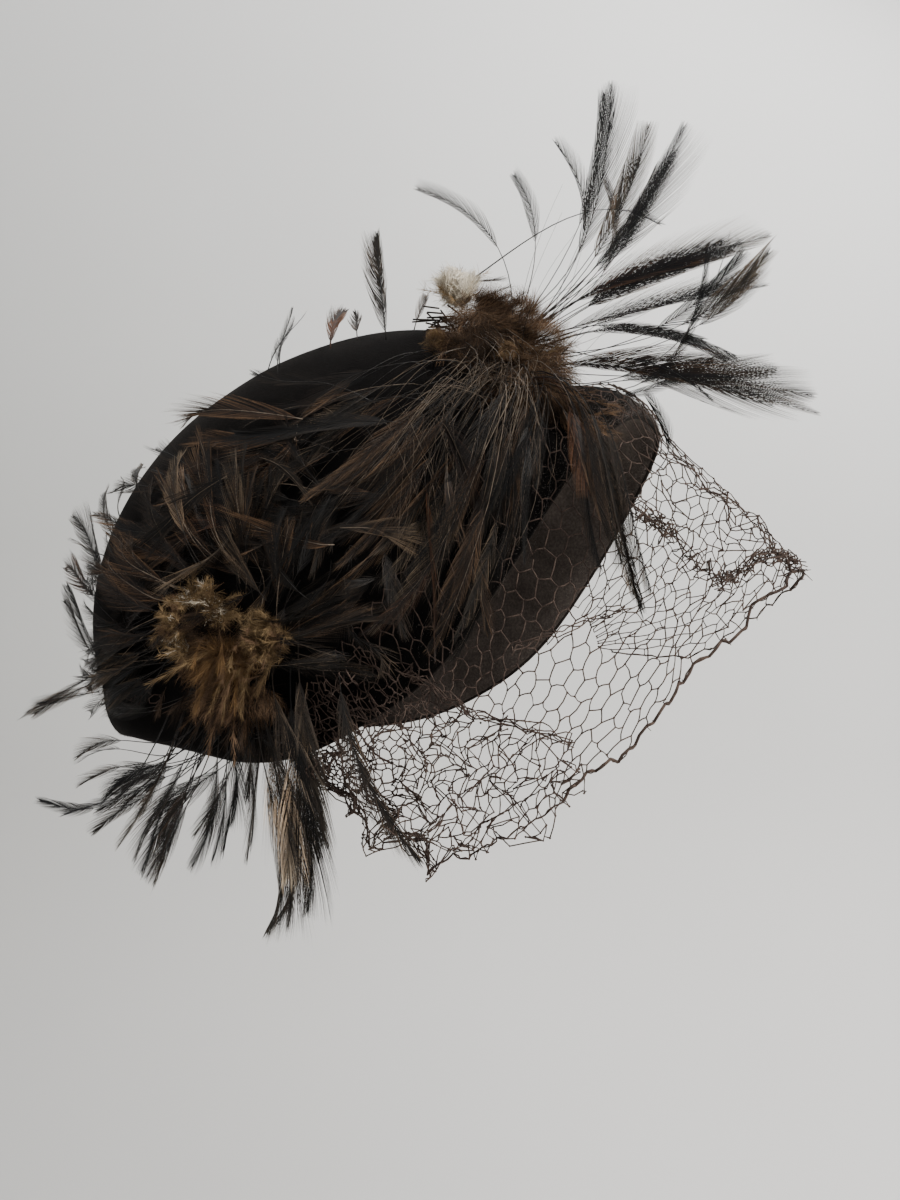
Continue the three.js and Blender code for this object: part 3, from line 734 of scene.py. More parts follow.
# The net is folded up on itself by the cheek: share of the veil's length against the
# fall where the second layer starts.
FOLD_TOP = np.array([(0.00, 0.00), (0.20, 0.05), (0.255, 0.28), (0.32, 0.51), (0.385, 0.69),
                     (0.43, 0.84), (0.46, 1.00)])
FOLD_COLUMNS, FOLD_ROWS = 30, 19
FOLD_CRUSH, FOLD_OUT = 1.1, 1.6  # how crumpled the second layer is, and how far out in mm
SELVAGE = (0.42, 0.80)  # shares of the veil's length between which its edge is thick
FRAYED = (0.72, 0.77)  # and between which it ends in a bunch of threads
# How far the knots stray from an even net, along it and down it, in shares.
NET_STRAY, FOLD_STRAY = np.array([0.0014, 0.0045]), np.array([0.004, 0.012])
BACK_LOOPS, BACK_LOOP_RADIUS = 16, 2.4  # loose thread on the felt behind the back tuft
# Creases where the net is bunched: their routes as (share, fall), how many threads run
# together, how far they stray.
CREASES = [
    ([(0.24, 0.22), (0.255, 0.28), (0.32, 0.51), (0.385, 0.69), (0.43, 0.84)], 5, 1.6),
    ([(0.395, 0.46), (0.43, 0.50), (0.47, 0.55), (0.515, 0.62)], 3, 1.0),
    ([(0.565, 0.42), (0.59, 0.52), (0.605, 0.59)], 10, 2.4),
    ([(0.605, 0.59), (0.62, 0.70), (0.635, 0.80)], 4, 2.4),
    ([(0.625, 0.80), (0.66, 0.82), (0.69, 0.84), (0.72, 0.89), (0.745, 0.95)], 9, 2.2),
    ([(0.10, 0.60), (0.16, 0.80), (0.23, 0.98)], 4, 2.0),
]


def veil_sheet(share, fall):
    """The veil's smooth form: share along it, fall from its upper edge to its free edge."""
    angle, lap, out, forward, down, belly = (column(VEIL, share, i) for i in range(1, 7))
    free = np.stack([-out, -forward, -down], -1)
    brink = over_felt(angle, 2.0, VEIL_STAND)
    t = np.clip((fall - ON_FELT) / (1 - ON_FELT), 0, 1)[..., None]
    away = unit(free * np.array([1, 1, 0]))
    sag = SAG * np.exp(-((share - SAG_AT) / SAG_SPREAD) ** 2)[..., None] * np.sin(np.pi * np.sqrt(t))
    hanging = (brink * (1 - t) + free * t + away * (4 * belly[..., None] * t * (1 - t))
               - sag * np.array([0, 0, 1]))
    lapped = over_felt(angle, 2 - lap * (1 - np.minimum(fall / ON_FELT, 1)), VEIL_STAND)
    return np.where((fall < ON_FELT)[..., None], lapped, hanging)


def veil_normal(share, fall):
    e = 0.004
    along = veil_sheet(np.clip(share + e, 0, 1), fall) - veil_sheet(np.clip(share - e, 0, 1), fall)
    drop = veil_sheet(share, np.clip(fall + e, 0, 1)) - veil_sheet(share, np.clip(fall - e, 0, 1))
    return unit(np.cross(drop, along))


def veil_place(share, fall, crush, out=0.0):
    """Places on the veil with its folds; crush is how crumpled the net is there."""
    points = veil_sheet(share, fall)
    hang = np.clip((fall - ON_FELT) / 0.25, 0, 1)
    folds = 1.8 * np.sin(46 * share + 3 * fall) + 1.2 * np.sin(87 * share - 5 * fall + 2)
    x, y, z = points[..., 0], points[..., 1], points[..., 2]
    rough = (np.sin(0.31 * y + 0.22 * z) + np.sin(0.27 * z - 0.19 * x + 1.3)
             + np.sin(0.55 * y - 0.37 * z + 2.1))
    push = out + hang * folds * 0.8 + crush * 3.0 * rough
    push = np.where(fall < ON_FELT, np.abs(push), push)
    slide = np.stack([np.sin(0.35 * z + 0.2 * y), np.sin(0.41 * z + 1.7), np.sin(0.38 * y + 0.6)], -1)
    return (points + veil_normal(share, fall) * push[..., None]
            + slide * (crush * 2.8 * np.minimum(hang + 0.3, 1))[..., None])


def net_crush(share, fall):
    """The single layer is crumpled at its hem by the cheek and in front of the visor."""
    hem = np.exp(-((share - 0.18) / 0.14) ** 2) * np.clip((fall - 0.55) / 0.2, 0, 1)
    front = np.exp(-((share - 0.68) / 0.09) ** 2) * np.clip((fall - ON_FELT) / 0.2, 0, 1)
    return 0.9 * hem + 0.6 * front


def hexagons(columns, rows):
    """The corners of a net of hexagons, as shares of its width and height, the threads
    that join them, and which corners are on its last row."""
    width, height = columns + 0.5, 1.5 * rows + 0.5
    corners, threads = {}, set()
    ways = [(0, -1), (0.5, -0.5), (0.5, 0.5), (0, 1), (-0.5, 0.5), (-0.5, -0.5)]
    for j in range(rows):
        for i in range(columns):
            a, b = i + 0.5 + 0.5 * (j % 2), 1 + 1.5 * j
            ring = []
            for da, db in ways:
                key = (round(2 * (a + da)), round(2 * (b + db)))
                ring.append(corners.setdefault(key, len(corners)))
            for k in range(6):
                threads.add(tuple(sorted((ring[k], ring[(k + 1) % 6]))))
    flat = np.array(list(corners)) / 2 / np.array([width, height])
    return flat, np.array(sorted(threads)), flat[:, 1] > 1 - 1.01 / height


def add_threads(bag, knots, threads, radius, slack, sides=4):
    for i, j in threads:
        middle = (knots[i] + knots[j]) / 2 + rng.normal(size=3) * slack
        add_tube(bag, np.array([knots[i], middle, knots[j]]), [radius] * 3, sides, 0)


def add_knots(bag, knots):
    """A small lump where the threads cross."""
    spots = np.array([(1, 0, 0), (0, 1, 0), (-1, 0, 0), (0, -1, 0), (0, 0, 1), (0, 0, -1)], float)
    faces = np.array([(0, 1, 4), (1, 2, 4), (2, 3, 4), (3, 0, 4),
                      (1, 0, 5), (2, 1, 5), (3, 2, 5), (0, 3, 5)])
    size = rng.uniform(1.5, 2.3, (len(knots), 1, 1)) * THREAD_RADIUS
    verts = (knots[:, None] + spots[None] * size).reshape(-1, 3)
    all_faces = (np.arange(len(knots))[:, None, None] * 6 + faces[None]).reshape(-1, 3)
    bag.add(verts, all_faces, np.zeros((len(verts), 2)), 0)


def add_cut_ends(bag, roots, count, length):
    """Short ends of thread that stick out at the cut edge."""
    for root in roots:
        for _ in range(count):
            way = unit(rng.normal(size=3)) * length * rng.uniform(0.4, 1.3)
            add_tube(bag, np.array([root, root + way * 0.5, root + way]),
                     THREAD_RADIUS * np.array([1, 0.8, 0.5]), 3, 0)


def make_veil():
    bag = Bag()
    flat, threads, last = hexagons(NET_COLUMNS, NET_ROWS)
    share = np.interp(flat[:, 0], NET_SPREAD[:, 0], NET_SPREAD[:, 1])
    fall = np.interp(flat[:, 1], [0, FELT_ROWS, 1], [0, ON_FELT, 1])
    crush = net_crush(share, fall)
    stray = rng.normal(size=flat.shape) * NET_STRAY * (1 + 2 * crush)[:, None]
    share, fall = np.clip(share + stray[:, 0], 0, 1), np.clip(fall + stray[:, 1], 0, 1)
    knots = veil_place(share, fall, crush)
    add_threads(bag, knots, threads, THREAD_RADIUS, 0.3)
    hem = last[threads[:, 0]] & last[threads[:, 1]]
    start = share[threads[:, 0]]
    thick = hem & (start > SELVAGE[0]) & (start < SELVAGE[1])
    add_threads(bag, knots, threads[thick], THREAD_RADIUS * 2.4, 0.4, 5)
    add_threads(bag, knots, threads[hem & ~thick], THREAD_RADIUS * 1.3, 0.3)
    add_knots(bag, knots)
    add_cut_ends(bag, knots[last & (share > SELVAGE[0])], 1, 2.0)
    add_cut_ends(bag, knots[last & (share > FRAYED[0]) & (share < FRAYED[1])], 7, 5.0)
    bag.build("veil_net", [THREAD], "net", "veil")


def make_folded_net():
    """The second, crushed layer by the cheek, the creases and the loose loops behind."""
    bag = Bag()
    flat, threads, _ = hexagons(FOLD_COLUMNS, FOLD_ROWS)
    fall = np.clip(flat[:, 1] + FOLD_STRAY[1] * rng.normal(size=len(flat)), 0, 1)
    share = flat[:, 0] * FOLD_TOP[-1, 0] + FOLD_STRAY[0] * rng.normal(size=len(flat))
    share = np.clip(share, 0, 1)
    knots = veil_place(share, fall, np.full(share.shape, FOLD_CRUSH), FOLD_OUT)
    kept = fall > np.interp(share, FOLD_TOP[:, 0], FOLD_TOP[:, 1])
    threads = threads[kept[threads[:, 0]] & kept[threads[:, 1]]]
    add_threads(bag, knots, threads, THREAD_RADIUS * 0.95, 0.5)
    add_knots(bag, knots[kept])
    for route, count, spread in CREASES:
        route = np.array(route)
        steps = np.linspace(0, len(route) - 1, 8 * len(route))
        share, fall = (np.interp(steps, np.arange(len(route)), route[:, k]) for k in (0, 1))
        middle = veil_place(share, fall, 0.6 * net_crush(share, fall), 0.8)
        for _ in range(count):
            stray = np.stack([smooth_noise(len(steps), 2.5) for _ in range(3)], -1)
            add_tube(bag, middle + stray * spread, [THREAD_RADIUS] * len(steps), 4, 0)
    for _ in range(BACK_LOOPS):
        spot = over_felt(rng.uniform(124, 136), rng.uniform(1.34, 1.52), rng.uniform(1.5, 4))
        turns = np.linspace(0, 2 * np.pi, 7)[:, None]
        a, b = rng.normal(size=3), rng.normal(size=3)
        loop = spot + BACK_LOOP_RADIUS * (np.cos(turns) * unit(a) + np.sin(turns) * unit(b))
        add_tube(bag, loop, [THREAD_RADIUS] * 7, 4, 0)
    bag.build("veil_fold", [THREAD], "net")


make_veil()
make_folded_net()

# ---------- Feathers on the front bunch ----------

PALE_TUFT = place(25, 21, 13)
# The quills of the spray leave the tuft between these two places.
SPRAY_FOOT = (place(46, 4, 14), place(66, -23, 36))

# The spray's feathers, in the side view: forward and up of the vane's foot and of its
# tip; how far out the tip stands; where the quill leaves the tuft, as a share of the
# way down it; half width; colour; how many stand beside it.
SPRAY = [
    ((40, 41), (7, 65), 10, 0.0, 4.0, GREY, 0),
    ((53, 47), (40, 76), -20, 0.1, 3.6, INK, 0),
    ((79, 44), (67, 76), 20, 0.1, 3.4, INK, 0),
    ((82, 33), (77, 74), -30, 0.2, 2.6, BROWN, 0),
    ((87, 36), (87, 100), 10, 0.2, 9.5, INK, 1),
    ((88, 34), (97, 92), -20, 0.2, 8.0, GREY, 2),
    ((93, 24), (118, 76), 25, 0.3, 10.0, INK, 1),
    ((90, 30), (108, 70), 0, 0.3, 7.0, GREY, 1),
    ((104, -16), (137, 31), 40, 0.9, 3.6, INK, 1),
    ((79, 24), (146, 43), -20, 0.3, 10.0, GREY, 1),
    ((84, 20), (138, 34), 10, 0.3, 9.0, INK, 1),
    ((78, 23), (118, 28), 12, 0.2, 6.5, RUST, 1),
    ((79, 10), (147, 19), 0, 0.4, 9.0, GREY, 1),
    ((122, -8), (149, 27), 20, 0.5, 11.0, GREY, 1),
    ((114, -8), (141, 24), 34, 0.6, 9.0, INK, 0),
    ((89, 2), (138, -13), 30, 0.4, 4.0, INK, 1),
    ((89, 4), (122, -1), 0, 0.4, 3.4, INK, 0),
    ((86, -7), (168, -35), 26, 0.6, 12.0, BROWN, 1),
    ((100, -13), (165, -26), 10, 0.6, 12.0, GREY, 1),
    ((98, -20), (137, -22), 36, 0.9, 1.8, INK, 1),
    ((96, -24), (128, -12), 20, 0.9, 2.4, INK, 0),
]
# A long thin one that arches over the spray and a small one on the visor: points on
# their quills as forward, up and out.
ARCHING = [(28, 24, 12), (52, 42, 4), (78, 64, 4), (106, 44, 6)]
VISOR_FEATHER = [(105, -52, 5), (109, -42, 4), (99, -20, 0)]
BROAD = 4.5  # half width from which a vane lies straight beyond its quill's bend
BARE_STRAYS = 14  # thin quills without a vane
STRAY_REACH = [(66, -10, -25), (112, 58, 40)]  # their tips lie between these


def through(first, middle, last, at):
    """A line from first to last that passes middle at the share `at` of the way."""
    bend = (middle - (1 - at) ** 2 * first - at**2 * last) / (2 * at * (1 - at))
    t = np.linspace(0, 1, QUILL_STEPS)[:, None]
    return (1 - t) ** 2 * first + 2 * (1 - t) * t * bend + t**2 * last


def elbow(first, middle, last):
    """A line from first to last that turns near middle and ends straight."""
    return bezier(first, middle + 0.28 * (first - middle), middle + 0.30 * (last - middle), last)


def spray_root(share):
    first, last = SPRAY_FOOT
    return first + (last - first) * share + rng.normal(size=3) * np.array([2.5, 2.0, 2.0])


def flat_hint(amount):
    """The way a vane faces: to the wearer's right, give or take a roll."""
    return unit(np.array([-1.0, 0.25, 0.15]) + amount * rng.normal(size=3))


def make_spray():
    bag = Bag()
    for foot, tip, out, share, half, tone, beside in SPRAY:
        for k in range(1 + beside):
            root = spray_root(np.clip(share + 0.12 * rng.normal(), 0, 1))
            middle = place(foot[0], foot[1], out * 0.6 + 8)
            last = place(tip[0], tip[1], out)
            if k:
                last = last + (middle - last) * rng.uniform(0.05, 0.3) + rng.normal(size=3) * 5
                middle = middle + rng.normal(size=3) * 4
            near, far = np.linalg.norm(middle - root), np.linalg.norm(last - middle)
            bare = np.clip(near / (near + far), 0.2, 0.8)
            line = through(root, middle, last, bare) if half < BROAD else elbow(root, middle, last)
            facing = flat_hint(0.3)
            width = half * (1 if k == 0 else rng.uniform(0.5, 0.9))
            add_feather(bag, line, facing, width, bare * 0.9, tone, SPRAY_VANE, 0.2, QUILL_DARK)
    for _ in range(BARE_STRAYS):
        root = spray_root(rng.random())
        last = place(*rng.uniform(*STRAY_REACH))
        middle = (root + last) / 2 + rng.normal(size=3) * 5
        line = through(root, middle, last, 0.5)
        add_tube(bag, line, np.linspace(0.15, 0.05, len(line)), 3, QUILL_DARK)
    line = bezier(*(place(*spot) for spot in ARCHING))
    add_feather(bag, line, flat_hint(0.2), 1.6, 0.82, INK, SPRAY_VANE)
    line = through(*(place(*spot) for spot in VISOR_FEATHER), 0.4)
    add_feather(bag, line, flat_hint(0.1), 6.0, 0.3, INK, SPRAY_VANE, quill=0.2)
    bag.build("spray_feathers", FEATHERS, "dark_hackle", "front_spray")


make_spray()

# ---------- Feathers over the felt ----------


def felt_arc(start, end, bow, low, high, arch, sway=1.6):
    """A line over the felt between two (angle, part) places, from `low` to `high` mm
    off it and `arch` more in its middle. bow above 1 starts it down the felt and ends
    it around the felt; below 1 is the other way."""
    t = np.linspace(0, 1, QUILL_STEPS)
    angle = start[0] + (end[0] - start[0]) * t**bow
    part = start[1] + (end[1] - start[1]) * (1 - (1 - t) ** bow)
    height = low + (high - low) * t**1.2 + arch * 4 * t * (1 - t)
    rise = (t * (1 - t) * 4)[:, None]
    wobble = (rise * rng.normal(size=3) * sway
              + np.sin(2 * np.pi * t)[:, None] * rng.normal(size=3) * sway * 0.6)
    return over_felt(angle, part, height) + wobble


# Hackles that sweep from the front tuft over the felt: where they start; their first
# and last tips, all as (angle, part); bow; the tips' height; half width; bare share;
# number; colour.
SIDE_SWEEPS = [
    ((42, 0.84), (64, 0.70), (78, 0.80), 1.3, 7, 3.4, 0.62, 5, BROWN),
    ((41, 0.88), (72, 0.80), (84, 1.00), 1.7, 9, 4.0, 0.62, 8, GREY),
    ((39, 0.92), (72, 0.96), (84, 1.22), 2.0, 10, 4.4, 0.64, 8, BROWN),
    ((38, 0.96), (72, 1.18), (84, 1.46), 2.2, 10, 4.6, 0.66, 8, BROWN),
    ((37, 1.00), (68, 1.42), (80, 1.74), 2.0, 10, 4.8, 0.66, 8, GREY),
    ((36, 1.05), (62, 1.60), (73, 1.94), 1.7, 9, 4.6, 0.66, 9, BROWN),
    ((35, 1.10), (56, 1.70), (67, 2.04), 1.4, 8, 4.4, 0.66, 9, GREY),
    ((34, 1.20), (49, 1.76), (58, 2.06), 1.2, 8, 3.6, 0.66, 8, BROWN),
    ((33, 1.32), (42, 1.76), (50, 2.02), 1.0, 7, 2.6, 0.62, 6, BLACK),
]
# Thin quills and loose barbs that run down from the tuft: the first and last place they
# start at and end at, and their number.
STRANDS = [
    ((18, 0.78), (34, 0.98), (44, 1.05), (66, 1.60), 44),
    ((26, 0.96), (36, 1.20), (42, 1.50), (60, 2.02), 40),
    ((28, 0.84), (40, 0.96), (62, 0.92), (80, 1.30), 36),
    ((46, 0.90), (60, 1.20), (56, 1.40), (74, 1.95), 50),
]
# Broad hackles that show whole: where they start and end as (angle, part), bow, the
# start's height and the tip's, half width, bare share, colour.
SHOWN = [
    ((51, 1.22), (54, 1.66), 1.1, 13, 11, 5.5, 0.05, RUST),
    ((53, 1.36), (60, 2.05), 1.1, 11, 9, 3.4, 0.10, BROWN),
    ((57, 1.30), (70, 1.92), 1.1, 12, 10, 3.8, 0.15, RUST),
    ((43, 1.45), (52, 1.92), 1.1, 8, 6, 2.4, 0.30, BROWN),
    ((56, 0.98), (82, 0.76), 1.0, 12, 13, 4.4, 0.08, BLACK),
    ((76, 1.29), (88, 0.92), 0.8, 13, 13, 5.0, 0.03, BROWN),
    ((79, 1.24), (91, 0.94), 0.8, 11, 10, 5.5, 0.03, BROWN),
    ((86, 0.87), (107, 0.87), 1.0, 15, 12, 7.0, 0.02, GREY),
    ((88, 0.98), (106, 1.02), 1.0, 12, 10, 4.0, 0.03, GREY),
    ((70, 0.82), (94, 0.56), 1.0, 10, 9, 4.5, 0.03, BROWN),
    ((73, 0.84), (92, 0.66), 1.0, 8, 8, 4.5, 0.03, BROWN),
    ((74, 0.96), (73, 0.82), 1.0, 11, 12, 3.0, 0.03, BROWN),
    ((80, 0.86), (76, 1.03), 1.0, 12, 11, 2.2, 0.05, GREY),
    ((74, 1.24), (62, 1.48), 1.0, 11, 9, 4.5, 0.03, GREY),
    ((58, 1.22), (74, 1.04), 0.7, 9, 11, 3.0, 0.20, BROWN),
    ((90, 1.32), (90, 0.98), 1.0, 14, 13, 5.5, 0.12, GREY),
    ((84, 1.42), (86, 1.12), 1.0, 13, 12, 5.0, 0.16, GREY),
    ((96, 1.40), (74, 1.70), 0.9, 14, 10, 4.0, 0.12, BLACK),
    ((94, 1.34), (78, 1.52), 0.9, 15, 12, 4.0, 0.12, BLACK),
]
# Shorter hackles that grow between the tufts: the first and last place they start in,
# how far on their tips lie (around, down) and how far that strays, the tips' height,
# half width, bare share, number, colour.
PATCHES = [
    ((56, 0.80), (76, 1.02), (16, -0.06), (6, 0.10), 7, 3.6, 0.30, 11, BROWN),
    ((70, 0.76), (90, 0.94), (15, -0.10), (7, 0.12), 7, 4.4, 0.25, 16, BROWN),
    ((88, 0.78), (106, 1.02), (13, -0.04), (8, 0.14), 7, 4.4, 0.25, 15, BLACK),
    ((76, 0.98), (96, 1.24), (10, -0.10), (11, 0.20), 8, 4.4, 0.28, 16, BROWN),
    ((66, 1.24), (86, 1.58), (6, 0.16), (9, 0.20), 8, 4.2, 0.30, 12, BLACK),
    ((106, 0.94), (126, 1.30), (12, -0.06), (7, 0.14), 6, 3.8, 0.28, 15, BLACK),
    ((60, 1.05), (80, 1.32), (12, 0.02), (10, 0.20), 8, 3.6, 0.30, 11, BLACK),
]


TONES, TONE_SHARES = [BLACK, BROWN, GREY, RUST], [0.42, 0.34, 0.19, 0.05]


def feather_tone(tone, chance=0.62):
    """The colour asked for, or by chance another."""
    return tone if rng.random() < chance else rng.choice(TONES, p=TONE_SHARES)


def lay_feather(bag, start, end, bow, low, high, half, bare, tone, arch, vane=HACKLE_VANE):
    """One hackle over the felt between two (angle, part) places."""
    line = felt_arc(start, end, bow, low, high, arch)
    facing = unit(felt_normal(*end) + 0.40 * rng.normal(size=3))
    # About half of the coloured hackles take the pale quill, whose colour is partly painted
    # highlight.
    quill_slot = QUILL_PALE_HIGHLIGHT if tone != BLACK and rng.random() < 0.5 else QUILL_DARK
    add_feather(bag, line, facing, half, bare, tone, vane, quill=0.15, quill_slot=quill_slot)


def lay_sweeps(bag, table, scatter):
    for start, first, last, bow, high, half, bare, count, tone in table:
        for _ in range(count):
            root = np.array(start) + np.array(scatter) * rng.normal(size=2)
            share = rng.random()
            tip = np.array(first) * (1 - share) + np.array(last) * share
            tip = root + (tip - root) * rng.uniform(0.72, 1.05) + rng.normal(size=2) * (1.2, 0.02)
            lay_feather(bag, root, tip, bow * rng.uniform(0.9, 1.15), rng.uniform(3, 8),
                        high * rng.uniform(0.4, 1.3), half * rng.uniform(0.6, 1.2),
                        bare + 0.12 * rng.uniform(-1, 1), feather_tone(tone), rng.uniform(1, 7))


def lay_patches(bag, table):
    for first, last, way, stray, high, half, bare, count, tone in table:
        for _ in range(count):
            root = rng.uniform(first, last)
            tip = root + np.array(way) + np.array(stray) * rng.normal(size=2)
            lay_feather(bag, root, tip, rng.uniform(0.7, 1.5), rng.uniform(0.6, 5),
                        high * rng.uniform(0.4, 1.5), half * rng.uniform(0.6, 1.2), bare,
                        feather_tone(tone), rng.uniform(0, 4))


# The lock that falls over the visor's edge, two feathers a row, by their tips (forward,
# down, out), half width and colour.
TEMPLE_FALL = [
    (114, 107, 84, 3.4, BLACK),
    (111, 100, 82, 3.0, GREY),
    (108, 92, 84, 3.6, GREY),
    (104, 84, 82, 4.0, BROWN),
    (98, 76, 80, 4.0, BROWN),
    (92, 64, 78, 4.2, RUST),
    (96, 88, 80, 3.2, BROWN),
]


def make_side_hackles():
    bag = Bag()
    lay_sweeps(bag, SIDE_SWEEPS, (3.0, 0.06))
    for first, second, third, fourth, count in STRANDS:
        for _ in range(count):
            line = felt_arc(rng.uniform(first, second), rng.uniform(third, fourth),
                            rng.uniform(1.0, 1.5), rng.uniform(6, 13), rng.uniform(5, 13),
                            rng.uniform(0, 5), 2.2)
            # Most strands take the pale quill colour, partly painted highlight.
            add_tube(bag, line, rng.uniform(0.06, 0.12) * np.linspace(1, 0.4, len(line)), 3,
                     QUILL_PALE_HIGHLIGHT if rng.random() < 0.55 else QUILL_DARK, shade=rng.random())
    bag.build("side_feathers", FEATHERS, "brown_hackle", "side_hackles")


def make_temple_fall():
    bag = Bag()
    root = over_felt(33.0, 1.36, 8.0)
    away = felt_normal(36.0, 1.16)
    for forward, down, out, half, tone in TEMPLE_FALL:
        for _ in range(2):
            tip = place(forward, -down, out) + rng.normal(size=3) * 2.2
            first = root + rng.normal(size=3) * 3
            line = swept(first, unit(away * 0.5 + heading(-20)), tip,
                         unit(heading(-70) - away * 0.1))
            add_feather(bag, line, unit(away + 0.4 * rng.normal(size=3)), half,
                        rng.uniform(0.38, 0.5), tone, SPRAY_VANE, quill=0.2)
    bag.build("temple_feathers", FEATHERS, "brown_hackle")


def make_mid_hackles():
    bag = Bag()
    lay_patches(bag, PATCHES)
    for start, end, bow, low, high, half, bare, tone in SHOWN:
        lay_feather(bag, start, end, bow, low, high, half, bare, tone, 2.0, WEB_VANE)
    bag.build("mid_feathers", FEATHERS, "brown_hackle")


make_side_hackles()
make_temple_fall()
make_mid_hackles()

# Tips that stand past the back and the top of the crown: the place on the felt that
# they leave (angle, part), the tip back, up and out, half width, number, colour.
SPIKES = [
    ((126, 0.72), (130, -56, 22), 3.6, 1, BLACK),
    ((124, 0.66), (122, -52, 20), 2.2, 1, BLACK),
    ((117, 0.56), (118, -46, 14), 2.0, 2, GREY),
    ((128, 0.86), (150, -67, 16), 8.0, 1, BLACK),
    ((126, 0.78), (146, -78, 20), 3.0, 1, GREY),
    ((132, 0.86), (146, -90, 28), 5.0, 1, RUST),
    ((140, 0.98), (144, -98, 30), 5.0, 1, GREY),
    ((140, 1.02), (143, -103, 32), 5.5, 1, GREY),
    ((146, 0.98), (153, -150, 46), 5.0, 1, BROWN),
    ((150, 1.02), (148, -151, 48), 3.4, 1, GREY),
    ((152, 1.16), (145, -148, 50), 3.0, 1, BLACK),
]
TOP_TIPS = [
    ((60, 0.46), (49, 16, 6), 3.0, 3, BLACK),
    ((46, 0.52), (26, 16, 10), 4.4, 2, RUST),
    ((40, 0.54), (18, 14, 14), 3.8, 1, RUST),
    ((30, 0.56), (12, 49, 2), 6.5, 2, GREY),
    ((22, 0.60), (-8, 22, 6), 2.6, 1, BROWN),
]


def add_spikes(bag, table):
    for (angle, part), (back, up, out), half, count, tone in table:
        for k in range(count):
            tip = place(-back, up, out) + rng.normal(size=3) * (1.0 if k == 0 else 4.0)
            start = over_felt(angle + rng.normal() * 3, part + rng.normal() * 0.04, 1.5)
            way = unit(tip - start)
            line = swept(start, unit(way + 0.3 * felt_normal(angle, part)), tip,
                         unit(way + 0.15 * rng.normal(size=3)), lag=0.3)
            add_feather(bag, line, flat_hint(0.35), half * rng.uniform(0.9, 1.3),
                        rng.uniform(0.06, 0.2), tone if k == 0 else feather_tone(tone),
                        WEB_VANE if tone == RUST else WISP_VANE, quill=0.22)


# Hackles that radiate from the back tuft, in the columns of SIDE_SWEEPS.
BACK_SWEEPS = [
    ((112, 1.10), (134, 0.84), (140, 1.02), 1.0, 8, 3.8, 0.30, 12, BLACK),
    ((112, 1.20), (138, 1.06), (144, 1.26), 1.0, 8, 3.8, 0.30, 12, GREY),
    ((112, 1.32), (136, 1.34), (140, 1.60), 1.0, 7, 3.4, 0.36, 9, BLACK),
    ((104, 1.05), (112, 0.70), (128, 0.78), 1.0, 10, 4.0, 0.32, 14, BROWN),
    ((96, 1.10), (84, 0.72), (104, 0.66), 1.0, 13, 4.2, 0.32, 14, BROWN),
    ((94, 1.22), (76, 0.90), (88, 0.78), 1.0, 14, 4.4, 0.32, 12, GREY),
    ((93, 1.36), (72, 1.12), (78, 0.98), 1.0, 13, 4.2, 0.34, 10, BLACK),
    ((94, 1.46), (76, 1.58), (80, 1.40), 1.0, 13, 4.0, 0.34, 9, BROWN),
    ((96, 1.50), (80, 1.88), (84, 1.70), 1.0, 9, 3.6, 0.40, 8, GREY),
    ((108, 1.56), (96, 1.96), (122, 1.90), 1.0, 6, 2.6, 0.55, 9, BLACK),
]


def make_back_hackles():
    bag = Bag()
    add_spikes(bag, SPIKES)
    add_spikes(bag, TOP_TIPS)
    lay_sweeps(bag, BACK_SWEEPS, (2.5, 0.06))
    bag.build("back_feathers", FEATHERS, "dark_hackle", "back_hackles")


make_back_hackles()

# The hanging plume by its tips: back, down and out from the origin, the way the tip
# points (180 back, 270 down), vane length, half width, number, colour.
PLUME = [
    (144, 186, 50, 165, 34, 3.4, 1, INK),
    (128, 190, 56, 200, 30, 3.4, 2, INK),
    (122, 178, 54, 215, 26, 5.0, 3, GREY),
    (112, 184, 58, 225, 32, 6.5, 4, BLACK),
    (111, 195, 62, 222, 36, 5.0, 3, BROWN),
    (98, 200, 66, 235, 38, 5.0, 3, GREY),
    (84, 208, 74, 250, 40, 6.5, 4, INK),
    (76, 212, 78, 250, 36, 6.5, 3, GREY),
    (71, 200, 80, 250, 34, 7.0, 2, BROWN),
    (58, 203, 84, 240, 34, 7.0, 2, GREY),
    (48, 200, 86, 250, 34, 7.0, 2, INK),
    (44, 196, 86, 262, 30, 5.0, 2, BLACK),
    (34, 200, 86, 262, 60, 5.0, 2, GREY),
    (25, 225, 90, 236, 60, 6.5, 2, GREY),
    (14, 221, 92, 258, 86, 10.0, 3, PALE),
    (6, 214, 94, 258, 76, 9.0, 2, GREY),
    (2, 196, 94, 276, 60, 7.0, 3, PALE),
]
CHEEK_FEATHER = [(-39, 193, 104, -48, 72, 4.6, 1, GREY)]  # one that points forward and down
PLUME_ROOT = (104.0, 1.62)
PLUME_SPREAD = 0.17  # degrees round the felt for each mm that a tip lies further back


def lay_plume(bag, table, kind):
    for back, down, out, angle, vane, half, count, tone in table:
        for k in range(count):
            tip = place(-back, -down, out) + rng.normal(size=3) * (0.5 if k == 0 else 4.5)
            angle_at_edge = PLUME_ROOT[0] + PLUME_SPREAD * (back - 50) + rng.normal() * 3
            start = over_felt(angle_at_edge, PLUME_ROOT[1] + 0.06 * rng.normal(), 6.0)
            if k:
                tip += (start - tip) * rng.uniform(0.02, 0.22)
            arrive = heading(angle + k * rng.normal() * 8)
            launch = unit(np.array([-0.5, 0, -1]) + 0.6 * unit(tip - start))
            line = swept(start, launch, tip, arrive, 0.38, 0.36)
            add_feather(bag, line, flat_hint(0.4), half * rng.uniform(0.75, 1.1),
                        np.clip(1 - vane / line_length(line), 0.15, 0.8),
                        tone if k == 0 else feather_tone(tone, 0.95 if tone == PALE else 0.6),
                        kind, quill=0.25)


def make_plume():
    bag = Bag()
    lay_plume(bag, PLUME, PLUME_VANE)
    lay_plume(bag, CHEEK_FEATHER, WEB_VANE)
    bag.build("plume_feathers", FEATHERS, "dark_hackle", "hanging_plume")


make_plume()

